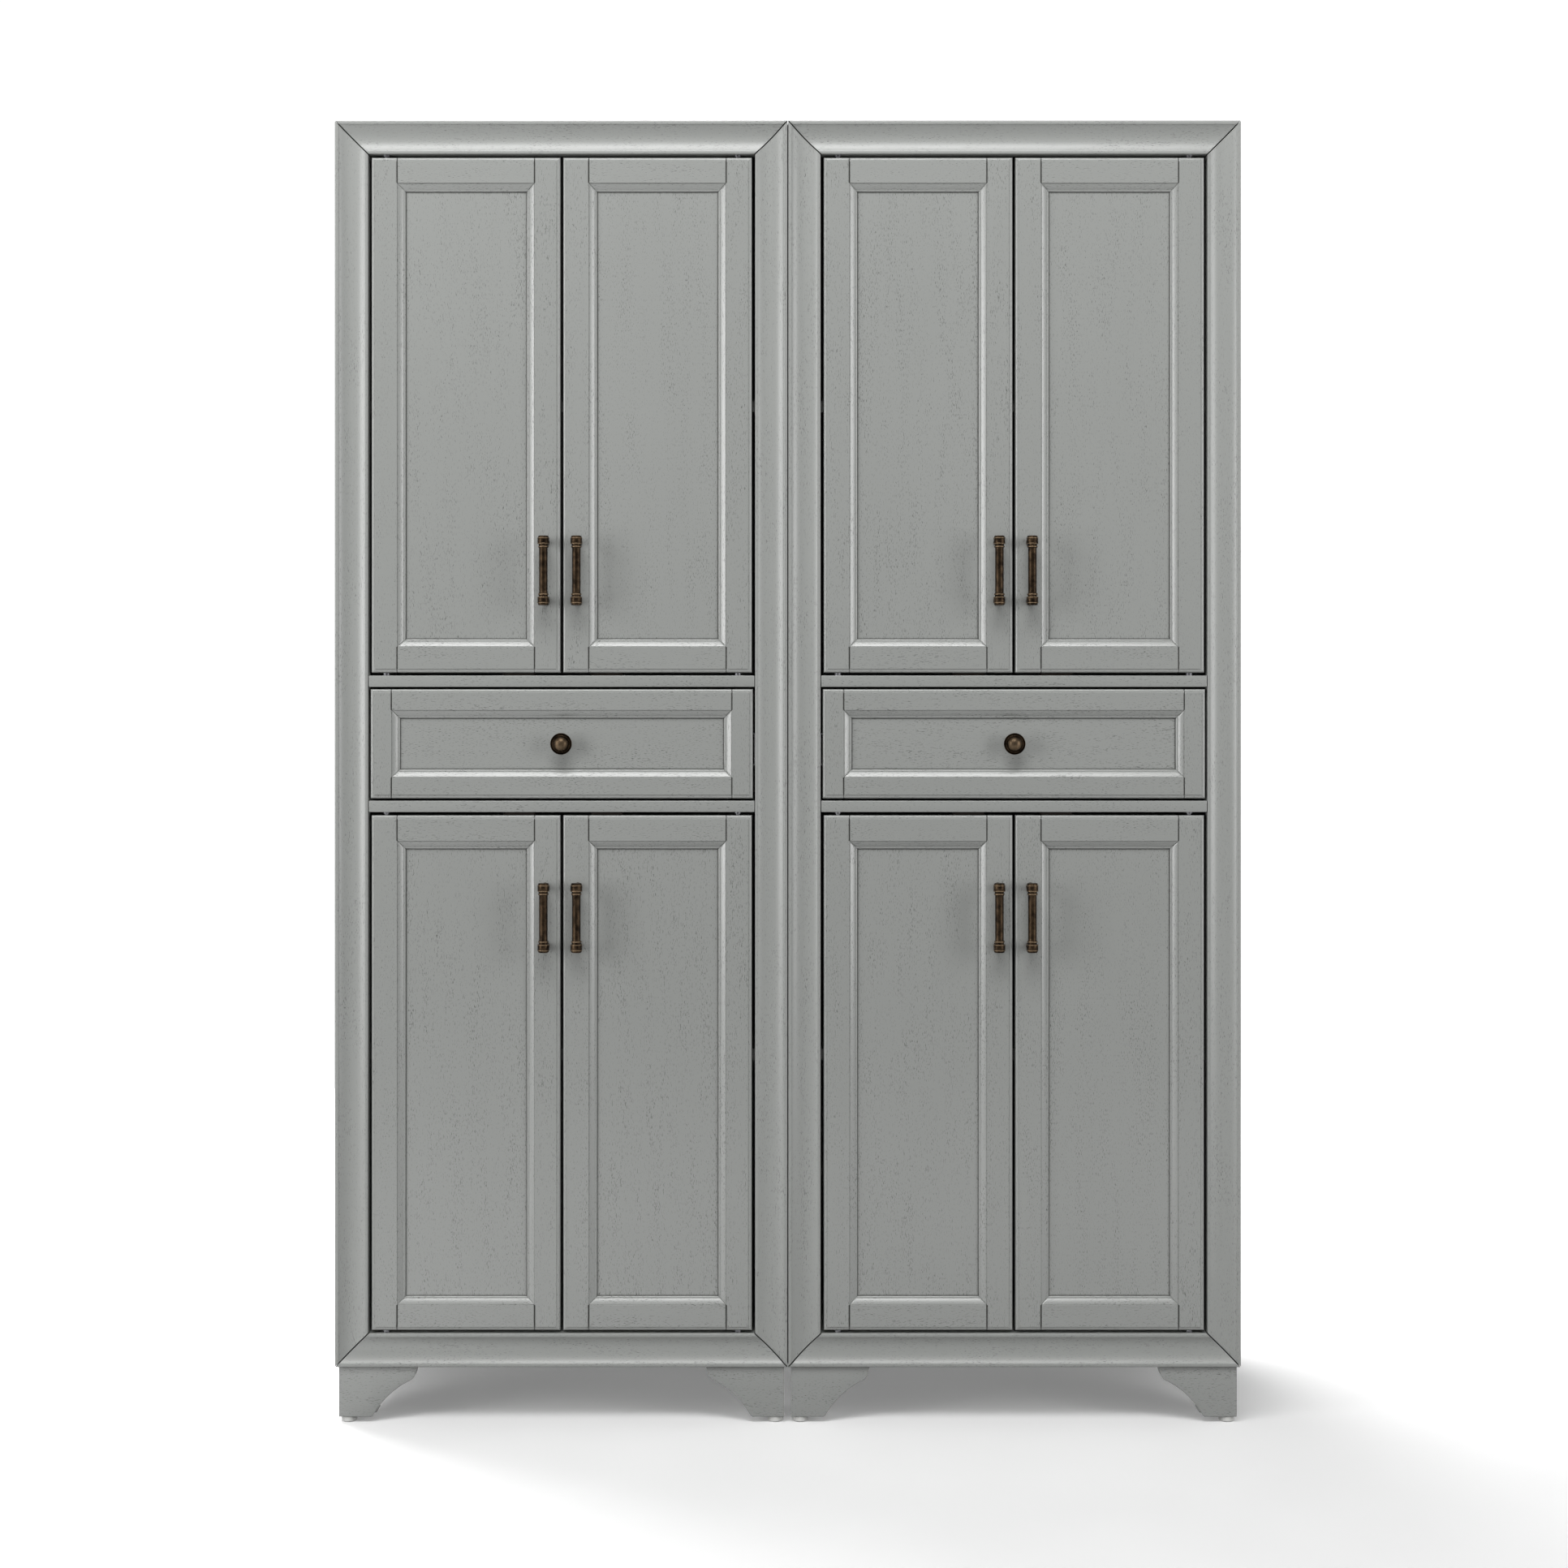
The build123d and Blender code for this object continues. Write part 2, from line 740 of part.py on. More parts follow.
drawer_corner = (-drawer_width / 2, 0, drawer_bottom)
drawer_kit = {
    "front_frame": [moved(p, *drawer_corner) for p in drawer_members.values()],
    "front_panel": [moved(drawer_panel, *drawer_corner)],
    "box": box_boards,
    "bottom": [box_bottom],
    "knob": [moved(knob.part, 0, panel_recess, drawer_middle), moved(knob_screw, z=drawer_middle)],
    "runners": [slide.part, slide.part.mirror(Plane.YZ)],
}
for cabinet, middle in cabinet_middles.items():
    for name, pieces in drawer_kit.items():
        placed = [moved(p, middle, face_y) for p in pieces]
        write(f"{cabinet}_cabinet_drawer_{name}", *placed)

# ---- Small fittings of both cabinets, each kind in one node ----


def on_both_sides(piece):
    """Copies at the left and right of both cabinets."""
    pair = (piece, piece.mirror(Plane.YZ))
    return [moved(p, middle, face_y) for middle in cabinet_middles.values() for p in pair]


write("shelf_pins", *shelf_pins)
write("foot_glides", *foot_glides)
write("door_pivot_pins", *pivot_pins)
write("magnetic_catches", *catches)
write("runner_spacers", *on_both_sides(spacer))
write("drawer_runner_channels", *on_both_sides(channel.part))
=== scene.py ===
# %% [markdown]
# # Painting and finishing a pair of pantry cabinets
#
# Two tall pantry cabinets stand edge to edge. Each has a mitred moulding round its front, like a
# picture frame, two doors above a drawer, two doors below it, and four bracket feet. The joiner's
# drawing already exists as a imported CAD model: it fixes every size, every hinge pin and every
# runner. This lesson dresses that model. What the eye meets first, the mouldings, the framed
# doors, the metalware and the feet, is modelled again as finely sampled surfaces that stay inside
# the drawing's sizes. What lies behind, the boards and fittings, keeps its CAD mesh and gets a
# finish.

import bmesh
import bpy
import numpy as np
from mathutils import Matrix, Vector


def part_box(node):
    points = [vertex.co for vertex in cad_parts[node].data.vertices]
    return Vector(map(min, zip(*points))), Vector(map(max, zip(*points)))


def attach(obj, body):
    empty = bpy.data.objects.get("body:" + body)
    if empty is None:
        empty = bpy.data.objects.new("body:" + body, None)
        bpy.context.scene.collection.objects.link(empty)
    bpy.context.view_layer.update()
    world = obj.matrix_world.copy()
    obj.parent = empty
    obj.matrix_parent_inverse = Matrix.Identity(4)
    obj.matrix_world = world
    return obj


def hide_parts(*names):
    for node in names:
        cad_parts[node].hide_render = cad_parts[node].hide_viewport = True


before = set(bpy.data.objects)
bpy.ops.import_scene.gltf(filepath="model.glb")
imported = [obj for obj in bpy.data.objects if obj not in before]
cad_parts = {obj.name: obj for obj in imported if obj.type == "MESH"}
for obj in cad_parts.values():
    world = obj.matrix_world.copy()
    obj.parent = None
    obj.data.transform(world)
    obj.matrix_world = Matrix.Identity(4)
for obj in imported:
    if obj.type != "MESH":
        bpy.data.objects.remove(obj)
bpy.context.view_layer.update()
MM = 0.001
chance = np.random.default_rng(18)

# %% [markdown]
# ## Where things are
#
# Each place comes from the box of a CAD node, in millimetres, so a piece can't drift from the
# drawing. The doors' faces share one plane, called the face. Depth is counted back from it, along
# +Y, so the moulding's outer lip, which stands proud of the doors, has a negative depth.

# %% Read places from the frame
CABINETS = ("left", "right")
LEVELS = ("upper", "lower")
SIDES = ("left", "right")


def box_mm(node):
    """Lowest and highest corners of a CAD node, in millimetres."""
    low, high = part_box(node)
    return np.array(low) / MM, np.array(high) / MM


FACE = box_mm("left_cabinet_upper_left_door_frame")[0][1]
THICK = 20.0
print("the face plane is at y =", round(FACE, 2), "mm")

# %% [markdown]
# ## From arrays to meshes
#
# Every new surface here is a grid: rows are copies of an outline, and columns are stations along
# a path. The grid's points are one array, its quads another. Closing the outline gives a tube,
# and a flat face on each end makes it solid. Neighbouring points that coincide are merged, normals
# are turned outwards, and edges sharper than a limit stay crisp while the rest shade smoothly.
#
# Two facts about the wood travel with each point. `grain` is the place inside the board, first
# along its length, so that pores always follow the board. The other says how dark the finish is
# painted there: dark glaze left in quirks and joints when the finish was wiped, together with
# painted shade where these recesses and joints, and the tops of the feet under the moulding, fall
# into shadow.

# %% Mesh helpers
MERGE = 2e-6


def grid_quads(rows, columns, wrap_rows=False):
    """Quads of a grid whose point (i, j) is number i * columns + j; rows may close up."""
    last_row = rows if wrap_rows else rows - 1
    i, j = np.meshgrid(np.arange(last_row), np.arange(columns - 1), indexing="ij")
    here, following = i * columns + j, (i + 1) % rows * columns + j
    return np.stack([here, following, following + 1, here + 1], axis=-1).reshape(-1, 4)


def tube_faces(rows, columns):
    """Faces of a closed outline carried along stations, with a flat face on both ends."""
    quads = grid_quads(rows, columns, wrap_rows=True).tolist()
    start = (np.arange(rows) * columns).tolist()
    return quads + [start[::-1], [k + columns - 1 for k in start]]


def make_piece(name, points, faces, attributes, material, body, replaces, crisp=32):
    """A finished piece from points in millimetres, riding on a body and standing for CAD nodes.

    Edges that turn by more than `crisp` degrees stay sharp."""
    mesh = bpy.data.meshes.new(name)
    mesh.from_pydata((points * MM).tolist(), [], faces)
    for label, values in attributes.items():
        kind, field = ("FLOAT_VECTOR", "vector") if values.ndim == 2 else ("FLOAT", "value")
        layer = mesh.attributes.new(label, kind, "POINT")
        layer.data.foreach_set(field, values.astype(np.float32).ravel())
    work = bmesh.new()
    work.from_mesh(mesh)
    bmesh.ops.remove_doubles(work, verts=work.verts, dist=MERGE)
    bmesh.ops.dissolve_degenerate(work, edges=work.edges, dist=MERGE / 2)
    bmesh.ops.recalc_face_normals(work, faces=work.faces)
    work.to_mesh(mesh)
    work.free()
    mesh.polygons.foreach_set("use_smooth", np.ones(len(mesh.polygons), bool))
    mesh.set_sharp_from_angle(angle=np.radians(crisp))
    mesh.materials.append(material)
    piece = bpy.data.objects.new(name, mesh)
    bpy.context.scene.collection.objects.link(piece)
    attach(piece, body)
    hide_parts(*replaces)


def arc(centre, radius, start, end, count):
    """Points centre + radius * (cos, sin) from one angle to another, in degrees."""
    turn = np.radians(np.linspace(start, end, count))
    return np.stack([centre[0] + radius * np.cos(turn), centre[1] + radius * np.sin(turn)], axis=-1)


def arc_through(a, b, c, count):
    """Points on the circle through a, b and c, from a to c.

    The centre is as far from a as from b and from c, which is two linear equations."""
    a, b, c = (np.array(p, float) for p in (a, b, c))
    lines = 2 * np.array([b - a, c - a])
    centre = np.linalg.solve(lines, [b @ b - a @ a, c @ c - a @ a])
    angles = np.unwrap([np.arctan2(*(p - centre)[::-1]) for p in (a, b, c)])
    turn = np.linspace(angles[0], angles[2], count)
    return centre + np.linalg.norm(a - centre) * np.stack([np.cos(turn), np.sin(turn)], axis=-1)


def near(values, place, reach):
    """1 - distance / reach, kept between 0 and 1: 1 at a place and 0 beyond its reach."""
    return np.clip(1 - np.abs(values - place) / reach, 0, 1)


print("mesh helpers ready")

# %% [markdown]
# ## Grey paint over open-grain wood
#
# The finish is a satin, slightly warm grey sprayed thinly enough for the wood's open pores to show
# as short dark strokes. A picture would fix them at one size, so they are grown instead: a noise
# stretched ten times along the grain is cut at a threshold, which leaves thin strokes, and a slower
# noise moves the threshold, so strokes gather in places. Glaze, together with painted shade,
# darkens recesses and joints, breaking up with the same grain. The strokes are also dents, through
# the bump.

# %% Node helpers


def node(tree, kind, inputs=None, **settings):
    """Adds a shader node, sets its properties, then fills sockets from values or other sockets."""
    made = tree.nodes.new(kind)
    for key, value in settings.items():
        setattr(made, key, value)
    for key, value in (inputs or {}).items():
        if isinstance(value, bpy.types.NodeSocket):
            tree.links.new(value, made.inputs[key])
        else:
            made.inputs[key].default_value = value
    return made


def maths(tree, operation, a, b=0.0, c=0.0):
    """One Math node's result; numbers or sockets go in."""
    return node(tree, "ShaderNodeMath", {0: a, 1: b, 2: c}, operation=operation).outputs[0]


def stretched_noise(tree, place, scale, detail=2.0, roughness=0.55):
    """Noise whose cells are 1/scale metres long on each axis of the wood."""
    mapping = node(tree, "ShaderNodeMapping", {"Vector": place, "Scale": scale})
    made = node(
        tree,
        "ShaderNodeTexNoise",
        {"Vector": mapping.outputs[0], "Scale": 1.0, "Detail": detail, "Roughness": roughness},
    )
    return made.outputs["Fac"]


def ramp(tree, value, low, high, to_low=0.0, to_high=1.0):
    """A value eased from one range to another, clamped at both ends."""
    ends = {"From Min": low, "From Max": high, "To Min": to_low, "To Max": to_high}
    sockets = {"Value": value, **ends}
    made = node(tree, "ShaderNodeMapRange", sockets, interpolation_type="SMOOTHSTEP")
    return made.outputs["Result"]


def blend_colour(tree, share, a, b):
    """Colour a where share is 0 and colour b where it is 1."""
    made = node(tree, "ShaderNodeMix", data_type="RGBA")
    for socket, value in ((made.inputs[0], share), (made.inputs[6], a), (made.inputs[7], b)):
        if isinstance(value, bpy.types.NodeSocket):
            tree.links.new(value, socket)
        else:
            socket.default_value = value
    return made.outputs[2]


def new_material(name):
    """An empty node material and its surface shader."""
    material = bpy.data.materials.new(name)
    material.use_nodes = True
    tree = material.node_tree
    tree.nodes.clear()
    shader = node(tree, "ShaderNodeBsdfPrincipled")
    output = node(tree, "ShaderNodeOutputMaterial")
    tree.links.new(shader.outputs[0], output.inputs["Surface"])
    return material, tree, shader


def wood_place(tree, axes):
    """The place inside the board: its grain attribute, or object coordinates in a given order."""
    if axes is None:
        return node(tree, "ShaderNodeAttribute", attribute_name="grain").outputs["Vector"]
    coordinates = node(tree, "ShaderNodeTexCoord").outputs["Object"]
    split = node(tree, "ShaderNodeSeparateXYZ", {0: coordinates}).outputs
    ordered = {i: split[axis] for i, axis in enumerate(axes)}
    return node(tree, "ShaderNodeCombineXYZ", ordered).outputs[0]


print("node helpers ready")

# %% Grey paint
PAINT = (0.335, 0.345, 0.332, 1)
PAINT_PALE = (0.341, 0.351, 0.338, 1)
PORE = (0.075, 0.078, 0.072, 1)
# Dark glaze in quirks and joints, and painted shade where recesses, joints and the tops of the feet
# fall into shadow.
GLAZE_AND_SHADE = (0.030, 0.030, 0.026, 1)
PORE_SCALE = (210, 1400, 1400)
CLUSTER_SCALE = (9, 60, 60)
STREAK_SCALE = (5, 260, 260)
CLOUD_SCALE = (2.2, 6, 6)


def grey_paint(name, axes=None, rough=0.25):
    """Satin grey paint with pore strokes along the first axis of the wood's own coordinates.

    A pore shows where strokes + 0.14 * clusters passes a threshold. Dark glaze and painted shade
    show where their attribute + 0.36 * streaks does, so their edge breaks up along the grain."""
    material, tree, shader = new_material(name)
    place = wood_place(tree, axes)
    strokes = stretched_noise(tree, place, PORE_SCALE, detail=1.0)
    clusters = stretched_noise(tree, place, CLUSTER_SCALE)
    streaks = stretched_noise(tree, place, STREAK_SCALE, detail=3.0)
    clouds = stretched_noise(tree, place, CLOUD_SCALE)
    gathered = maths(tree, "MULTIPLY_ADD", clusters, 0.14, strokes)
    darkest = ramp(tree, clusters, 0.35, 0.70, 0.36, 0.78)
    # Painted shade with glaze: more and darker pores, then the dark colour, where the darkening
    # attribute is high.
    if axes is None:
        glaze_and_shade = node(tree, "ShaderNodeAttribute", attribute_name="glaze_and_shade").outputs["Fac"]
        gathered = maths(tree, "MULTIPLY_ADD", glaze_and_shade, 0.07, gathered)
        darkest = maths(tree, "MULTIPLY_ADD", glaze_and_shade, 0.5, darkest)
    pore = maths(tree, "MULTIPLY", ramp(tree, gathered, 0.690, 0.780), darkest)
    tone = ramp(tree, maths(tree, "MULTIPLY_ADD", streaks, 0.10, clouds), 0.40, 0.70)
    colour = blend_colour(tree, tone, PAINT, PAINT_PALE)
    if axes is None:
        glaze_and_shade_share = maths(tree, "MULTIPLY_ADD", streaks, 0.36, glaze_and_shade)
        glaze_and_shade_share = ramp(tree, glaze_and_shade_share, 0.34, 1.15, to_high=0.96)
        colour = blend_colour(tree, glaze_and_shade_share, colour, GLAZE_AND_SHADE)
    colour = blend_colour(tree, pore, colour, PORE)
    tree.links.new(colour, shader.inputs["Base Color"])
    tree.links.new(ramp(tree, streaks, 0.3, 0.7, rough, rough + 0.02), shader.inputs["Roughness"])
    shader.inputs["Specular IOR Level"].default_value = 0.9
    height = maths(tree, "MULTIPLY_ADD", pore, -1.0, maths(tree, "MULTIPLY", streaks, 0.02))
    bump = node(tree, "ShaderNodeBump", {"Height": height, "Strength": 0.35, "Distance": 0.00025})
    tree.links.new(bump.outputs[0], shader.inputs["Normal"])
    return material


grey_paint_boards = grey_paint("grey_paint_boards")
grey_paint_mouldings = grey_paint("grey_paint_mouldings", rough=0.35)
print("paint made for jointed pieces")

# %% [markdown]
# ## Antique bronze
#
# Handles and knobs are cast, darkened and then rubbed. The metal is a deep brown that turns nearly
# black in patches, with a fine speckle. The rims, where hands and the polishing wheel touch, are
# rubbed back to paler metal, and that paler colour also stands in for a painted highlight along
# them; the middle of a knob's crown is painted paler as a painted reflection of the room. A value
# on each point says how much paler the metal is painted there, for rubbing and painted sheen
# together.

# %% Antique bronze
BRONZE_DARK = (0.010, 0.007, 0.005, 1)
BRONZE_BROWN = (0.056, 0.037, 0.022, 1)
# Paler metal: rubbed rims, also a painted highlight on them and a painted reflection on a knob's
# crown.
BRONZE_RUBBED_SHEEN = (0.30, 0.215, 0.135, 1)


def antique_bronze(name):
    """Dark to brown where patches + 0.6 * speckle rises, and paler by 0.7 times the rubbing and
    painted sheen.
    """
    material, tree, shader = new_material(name)
    place = node(tree, "ShaderNodeTexCoord").outputs["Object"]
    wear_and_sheen = node(tree, "ShaderNodeAttribute", attribute_name="wear_and_sheen").outputs["Fac"]
    mottle = stretched_noise(tree, place, (1500, 1500, 1500), detail=2.0, roughness=0.7)
    patches = stretched_noise(tree, place, (120, 120, 120), detail=3.0)
    share = ramp(tree, maths(tree, "MULTIPLY_ADD", mottle, 0.6, patches), 0.58, 1.02)
    colour = blend_colour(tree, share, BRONZE_DARK, BRONZE_BROWN)
    # Paler where rubbed, and where a highlight or reflection is painted.
    colour = blend_colour(tree, maths(tree, "MULTIPLY", wear_and_sheen, 0.7), colour, BRONZE_RUBBED_SHEEN)
    shader.inputs["Metallic"].default_value = 1.0
    tree.links.new(colour, shader.inputs["Base Color"])
    tree.links.new(ramp(tree, mottle, 0.3, 0.7, 0.46, 0.34), shader.inputs["Roughness"])
    bump = node(tree, "ShaderNodeBump", {"Height": mottle, "Strength": 0.25, "Distance": 0.0003})
    tree.links.new(bump.outputs[0], shader.inputs["Normal"])
    return material


bronze = antique_bronze("antique_bronze")
print("bronze made")

# %% [markdown]
# ## Finishes for the parts behind
#
# Boards of the carcass wear the same paint; their grain runs along whichever axis their length
# does, so one recipe takes the order of axes. The drawer box is clear-lacquered hardwood, pins and
# runners are zinc-plated, glides are white nylon and the catches brown plastic.

# %% Hardwood and mottled finishes
LATE_WOOD = (0.50, 0.33, 0.18, 1)
EARLY_WOOD = (0.66, 0.48, 0.29, 1)
FIBRE = (0.28, 0.16, 0.08, 1)
ZINC = (0.42, 0.43, 0.45, 1), (0.62, 0.63, 0.64, 1)
NYLON = (0.78, 0.78, 0.75, 1), (0.86, 0.86, 0.84, 1)
WORN_STEEL = (0.10, 0.10, 0.11, 1), (0.24, 0.24, 0.25, 1)
CATCH_PLASTIC = (0.035, 0.024, 0.018, 1), (0.05, 0.034, 0.026, 1)


def lacquered_hardwood(name):
    """Pale hardwood: rings stretched along X, fine dark fibres, and a clear satin coat."""
    material, tree, shader = new_material(name)
    place = wood_place(tree, (0, 2, 1))
    figure = stretched_noise(tree, place, (3, 55, 30), detail=4.0)
    fibres = stretched_noise(tree, place, (40, 900, 900), detail=2.0)
    colour = blend_colour(tree, ramp(tree, figure, 0.35, 0.65), LATE_WOOD, EARLY_WOOD)
    dark_fibres = ramp(tree, fibres, 0.56, 0.72, to_high=0.45)
    colour = blend_colour(tree, dark_fibres, colour, FIBRE)
    tree.links.new(colour, shader.inputs["Base Color"])
    tree.links.new(ramp(tree, fibres, 0.3, 0.7, 0.38, 0.52), shader.inputs["Roughness"])
    bump = node(tree, "ShaderNodeBump", {"Height": fibres, "Strength": 0.2, "Distance": 0.0002})
    tree.links.new(bump.outputs[0], shader.inputs["Normal"])
    return material


def mottled(name, dark, pale, scale, metallic, rough_low, rough_high):
    """A plain finish with fine mottling in its colour, roughness and surface."""
    material, tree, shader = new_material(name)
    place = node(tree, "ShaderNodeTexCoord").outputs["Object"]
    grains = stretched_noise(tree, place, (scale, scale, scale), detail=4.0, roughness=0.6)
    colour = blend_colour(tree, ramp(tree, grains, 0.35, 0.65), dark, pale)
    tree.links.new(colour, shader.inputs["Base Color"])
    tree.links.new(ramp(tree, grains, 0.3, 0.7, rough_low, rough_high), shader.inputs["Roughness"])
    shader.inputs["Metallic"].default_value = metallic
    bump = node(tree, "ShaderNodeBump", {"Height": grains, "Strength": 0.12, "Distance": 0.0001})
    tree.links.new(bump.outputs[0], shader.inputs["Normal"])
    return material


hardwood = lacquered_hardwood("lacquered_hardwood")
zinc = mottled("zinc_plate", *ZINC, 260, 1.0, 0.28, 0.42)
nylon = mottled("white_nylon", *NYLON, 600, 0.0, 0.35, 0.45)
worn_steel = mottled("worn_steel", *WORN_STEEL, 420, 1.0, 0.35, 0.5)
catch_plastic = mottled("brown_plastic", *CATCH_PLASTIC, 900, 0.0, 0.45, 0.6)
print("made hardwood, zinc, nylon, worn steel and brown plastic")

# %% Dress the carcass and the fittings


def dress(name, material):
    """Gives a CAD node a finish, leaving its mesh alone."""
    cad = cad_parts[name]
    if cad.material_slots:
        cad.material_slots[0].material = material
    else:
        cad.data.materials.append(material)


paint_upright = grey_paint("grey_paint_upright", axes=(2, 1, 0))
paint_back = grey_paint("grey_paint_back", axes=(2, 0, 1))
paint_level = grey_paint("grey_paint_level", axes=(0, 1, 2))

for cabinet in CABINETS:
    dress(f"{cabinet}_cabinet_side_panels", paint_upright)
    dress(f"{cabinet}_cabinet_back_panel", paint_back)
    for part in ("top_panel", "bottom_panel", "divider_panels", "shelves"):
        dress(f"{cabinet}_cabinet_{part}", paint_level)
    for part in ("box", "bottom"):
        dress(f"{cabinet}_cabinet_drawer_{part}", hardwood)
    dress(f"{cabinet}_cabinet_drawer_runners", zinc)
dress("runner_spacers", paint_level)
dress("shelf_pins", zinc)
dress("door_pivot_pins", worn_steel)
dress("drawer_runner_channels", zinc)
dress("foot_glides", nylon)
dress("magnetic_catches", catch_plastic)
print("carcass and fittings dressed")

# %% [markdown]
# ## The picture-frame moulding
#
# Four lengths of one moulding, mitred at the corners. Its section has a small flat lip at the outer
# edge, standing 5 mm proud, a wide scoop, and a narrow inner lip beside the doors. A length is the
# section carried along a line, but a mitre is longer outside than inside: at a distance u in from
# the outer edge, the length is shorter by u at each end. Corners of a real mitre are eased by the
# sandpaper, so each end gets a hair of rounding, and glaze gathers in the joint; the joint is also
# painted dark as painted shade in its gap, and so is a band where the outer lip meets the scoop.

# %% Moulding
MOULDING = 46.0
MITRE_EASE = 0.7
MITRE_GAP = 1.3
SEAM_GAP = 0.8


def moulding_section():
    """Closed outline (u, depth): lip, scoop, inner lip and back. u runs in from the outer edge."""
    lip = arc((1.5, -3.5), 1.5, 180, 270, 6)
    lip_arris = arc((4.2, -3.4), 1.6, 270, 328, 6)
    scoop = arc_through((5.7, -4.0), (25.0, 3.2), (39.6, 0.3), 28)
    inner_arris = arc_through((40.3, 0.0), (41.4, -0.55), (42.8, -0.8), 6)
    inner_lip = arc((44.7, 0.5), 1.3, 270, 360, 6)
    back = np.array([[MOULDING, THICK], [0.0, THICK]])
    return np.concatenate([lip, lip_arris, scoop, inner_arris, inner_lip, back])


def moulding_length(length, seam):
    """One length: each point's u, depth, place along it and darkening, glaze with painted shade.

    Half its length at u is length / 2 - u, so the ends are cut at 45 degrees. `seam` holds the
    front back from the neighbouring cabinet. Near an end the front dips by up to MITRE_EASE."""
    section = moulding_section()
    u, depth = section[:, :1], section[:, 1:]
    front = depth < THICK - 1
    u = np.where(front, np.maximum(u, seam), u)
    inset = np.array([0.0, 0.35, MITRE_EASE, 2.2, 8.0])
    half = length / 2 - u - MITRE_GAP / 2
    along = np.concatenate([-half + inset, half - inset[::-1]], axis=1)
    ease = np.concatenate([MITRE_EASE - inset, (MITRE_EASE - inset)[::-1]]).clip(0)
    depth = depth + np.where(front, ease, 0)
    u = np.broadcast_to(u, along.shape)
    depth = np.broadcast_to(depth, along.shape)
    end = np.broadcast_to(np.concatenate([inset, inset[::-1]]), along.shape)
    # Painted shade with glaze: dark in the mitre joint's gap, a little darker near it, and darker
    # where the outer lip meets the scoop.
    glaze_and_shade = 1.0 * (end < 0.5) + 0.12 * (end < 3)
    glaze_and_shade = np.maximum(glaze_and_shade, 0.25 * near(u, 5.8, 2.5))
    return u, depth, along, np.where(front, glaze_and_shade, 0)


moulding_rows = len(moulding_section())
for cabinet in CABINETS:
    low, high = box_mm(f"{cabinet}_cabinet_face_moulding")
    middle = (low + high) / 2
    width, height = high[0] - low[0], high[2] - low[2]
    for place in ("top", "bottom", "left", "right"):
        level = place in ("top", "bottom")
        beside_neighbour = {"left": "right", "right": "left"}[cabinet]
        seam = SEAM_GAP if place == beside_neighbour else 0.0
        u, depth, along, glaze_and_shade = moulding_length(width if level else height, seam)
        outwards = {"top": high[2], "right": high[0], "bottom": -low[2], "left": -low[0]}[place]
        reach = (outwards - u) * (1 if place in ("top", "right") else -1)
        x, z = (middle[0] + along, reach) if level else (reach, middle[2] + along)
        points = np.stack([x, FACE + depth, z], axis=-1).reshape(-1, 3)
        grain = np.stack([along, u, depth], axis=-1).reshape(-1, 3) * MM + chance.uniform(1, 9, 3)
        make_piece(
            f"{cabinet}_cabinet_moulding_{place}",
            points,
            tube_faces(moulding_rows, along.shape[1]),
            {"grain": grain, "glaze_and_shade": glaze_and_shade.ravel()},
            grey_paint_mouldings,
            "cabinets",
            [f"{cabinet}_cabinet_face_moulding"],
        )
print("mouldings:", moulding_rows, "points round the section")

# %% [markdown]
# ## Stiles, rails and panels
#
# A framed door is five pieces: two stiles run its full height, two rails fit between them, and a
# flat panel floats in grooves. All four members share one section: a rounded outer edge with a
# small step, the flat, then the sticking that runs down to the panel in a quirk, a swelling
# ovolo, a fillet and a bead.
#
# At the corners the stickings meet in a mitre while the flats butt. Both follow from one rule: at
# a station s from the member's end, everything deeper into the frame than c(s) is cut off, where
# c is the flat's width until the station passes it and then grows with s until the sticking is
# whole. The stile's own ends carry the door's rounded edge: there the depth is the larger of the
# section's and the edge's. A shallow V marks the joint, because both arrises are eased.

# %% The section of stiles and rails
PANEL_DEPTH = 8.0
PANEL_THICK = 6.0
STICKING = 11.5
JOINT_V = 1.6
DOOR_FLAT = 36.0
DRAWER_FLAT = 29.5
EDGE = np.concatenate([arc((3.4, 4.3), 3.4, 180, 270, 8), [[4.6, 0.9], [5.4, 0.0]]])


def member_section(flat):
    """Closed outline (v, depth) of a stile or rail; v runs in from the outer edge of the front.

    Edge, step, flat, quirk, ovolo, fillet, bead, then the panel's groove and the back."""
    ovolo = arc_through((flat + 1.0, 1.1), (flat + 4.6, 3.0), (flat + 8.0, 5.2), 12)
    quirk = [[6.4, 0.0], [flat - 2.5, 0.0], [flat - JOINT_V, 0.0], [flat, 0.0], [flat + 0.4, 1.1]]
    bead = arc((flat + 9.1, PANEL_DEPTH), 2.4, 270, 360, 7)
    inner = flat + STICKING
    groove_back = PANEL_DEPTH + PANEL_THICK
    groove = [[inner - 8, PANEL_DEPTH], [inner - 8, groove_back], [inner, groove_back]]
    back = [[inner, THICK], [0.0, THICK]]
    return np.concatenate([EDGE, quirk, ovolo, [[flat + 8.4, 5.6]], bead, groove, back])


def edge_depth(s):
    """How far the front's rounded outer edge lies behind the face at a distance s from it."""
    return np.interp(s, EDGE[:, 0], EDGE[:, 1], right=0.0)


print("a door member's section has", len(member_section(DOOR_FLAT)), "points")

# %% Stiles and rails


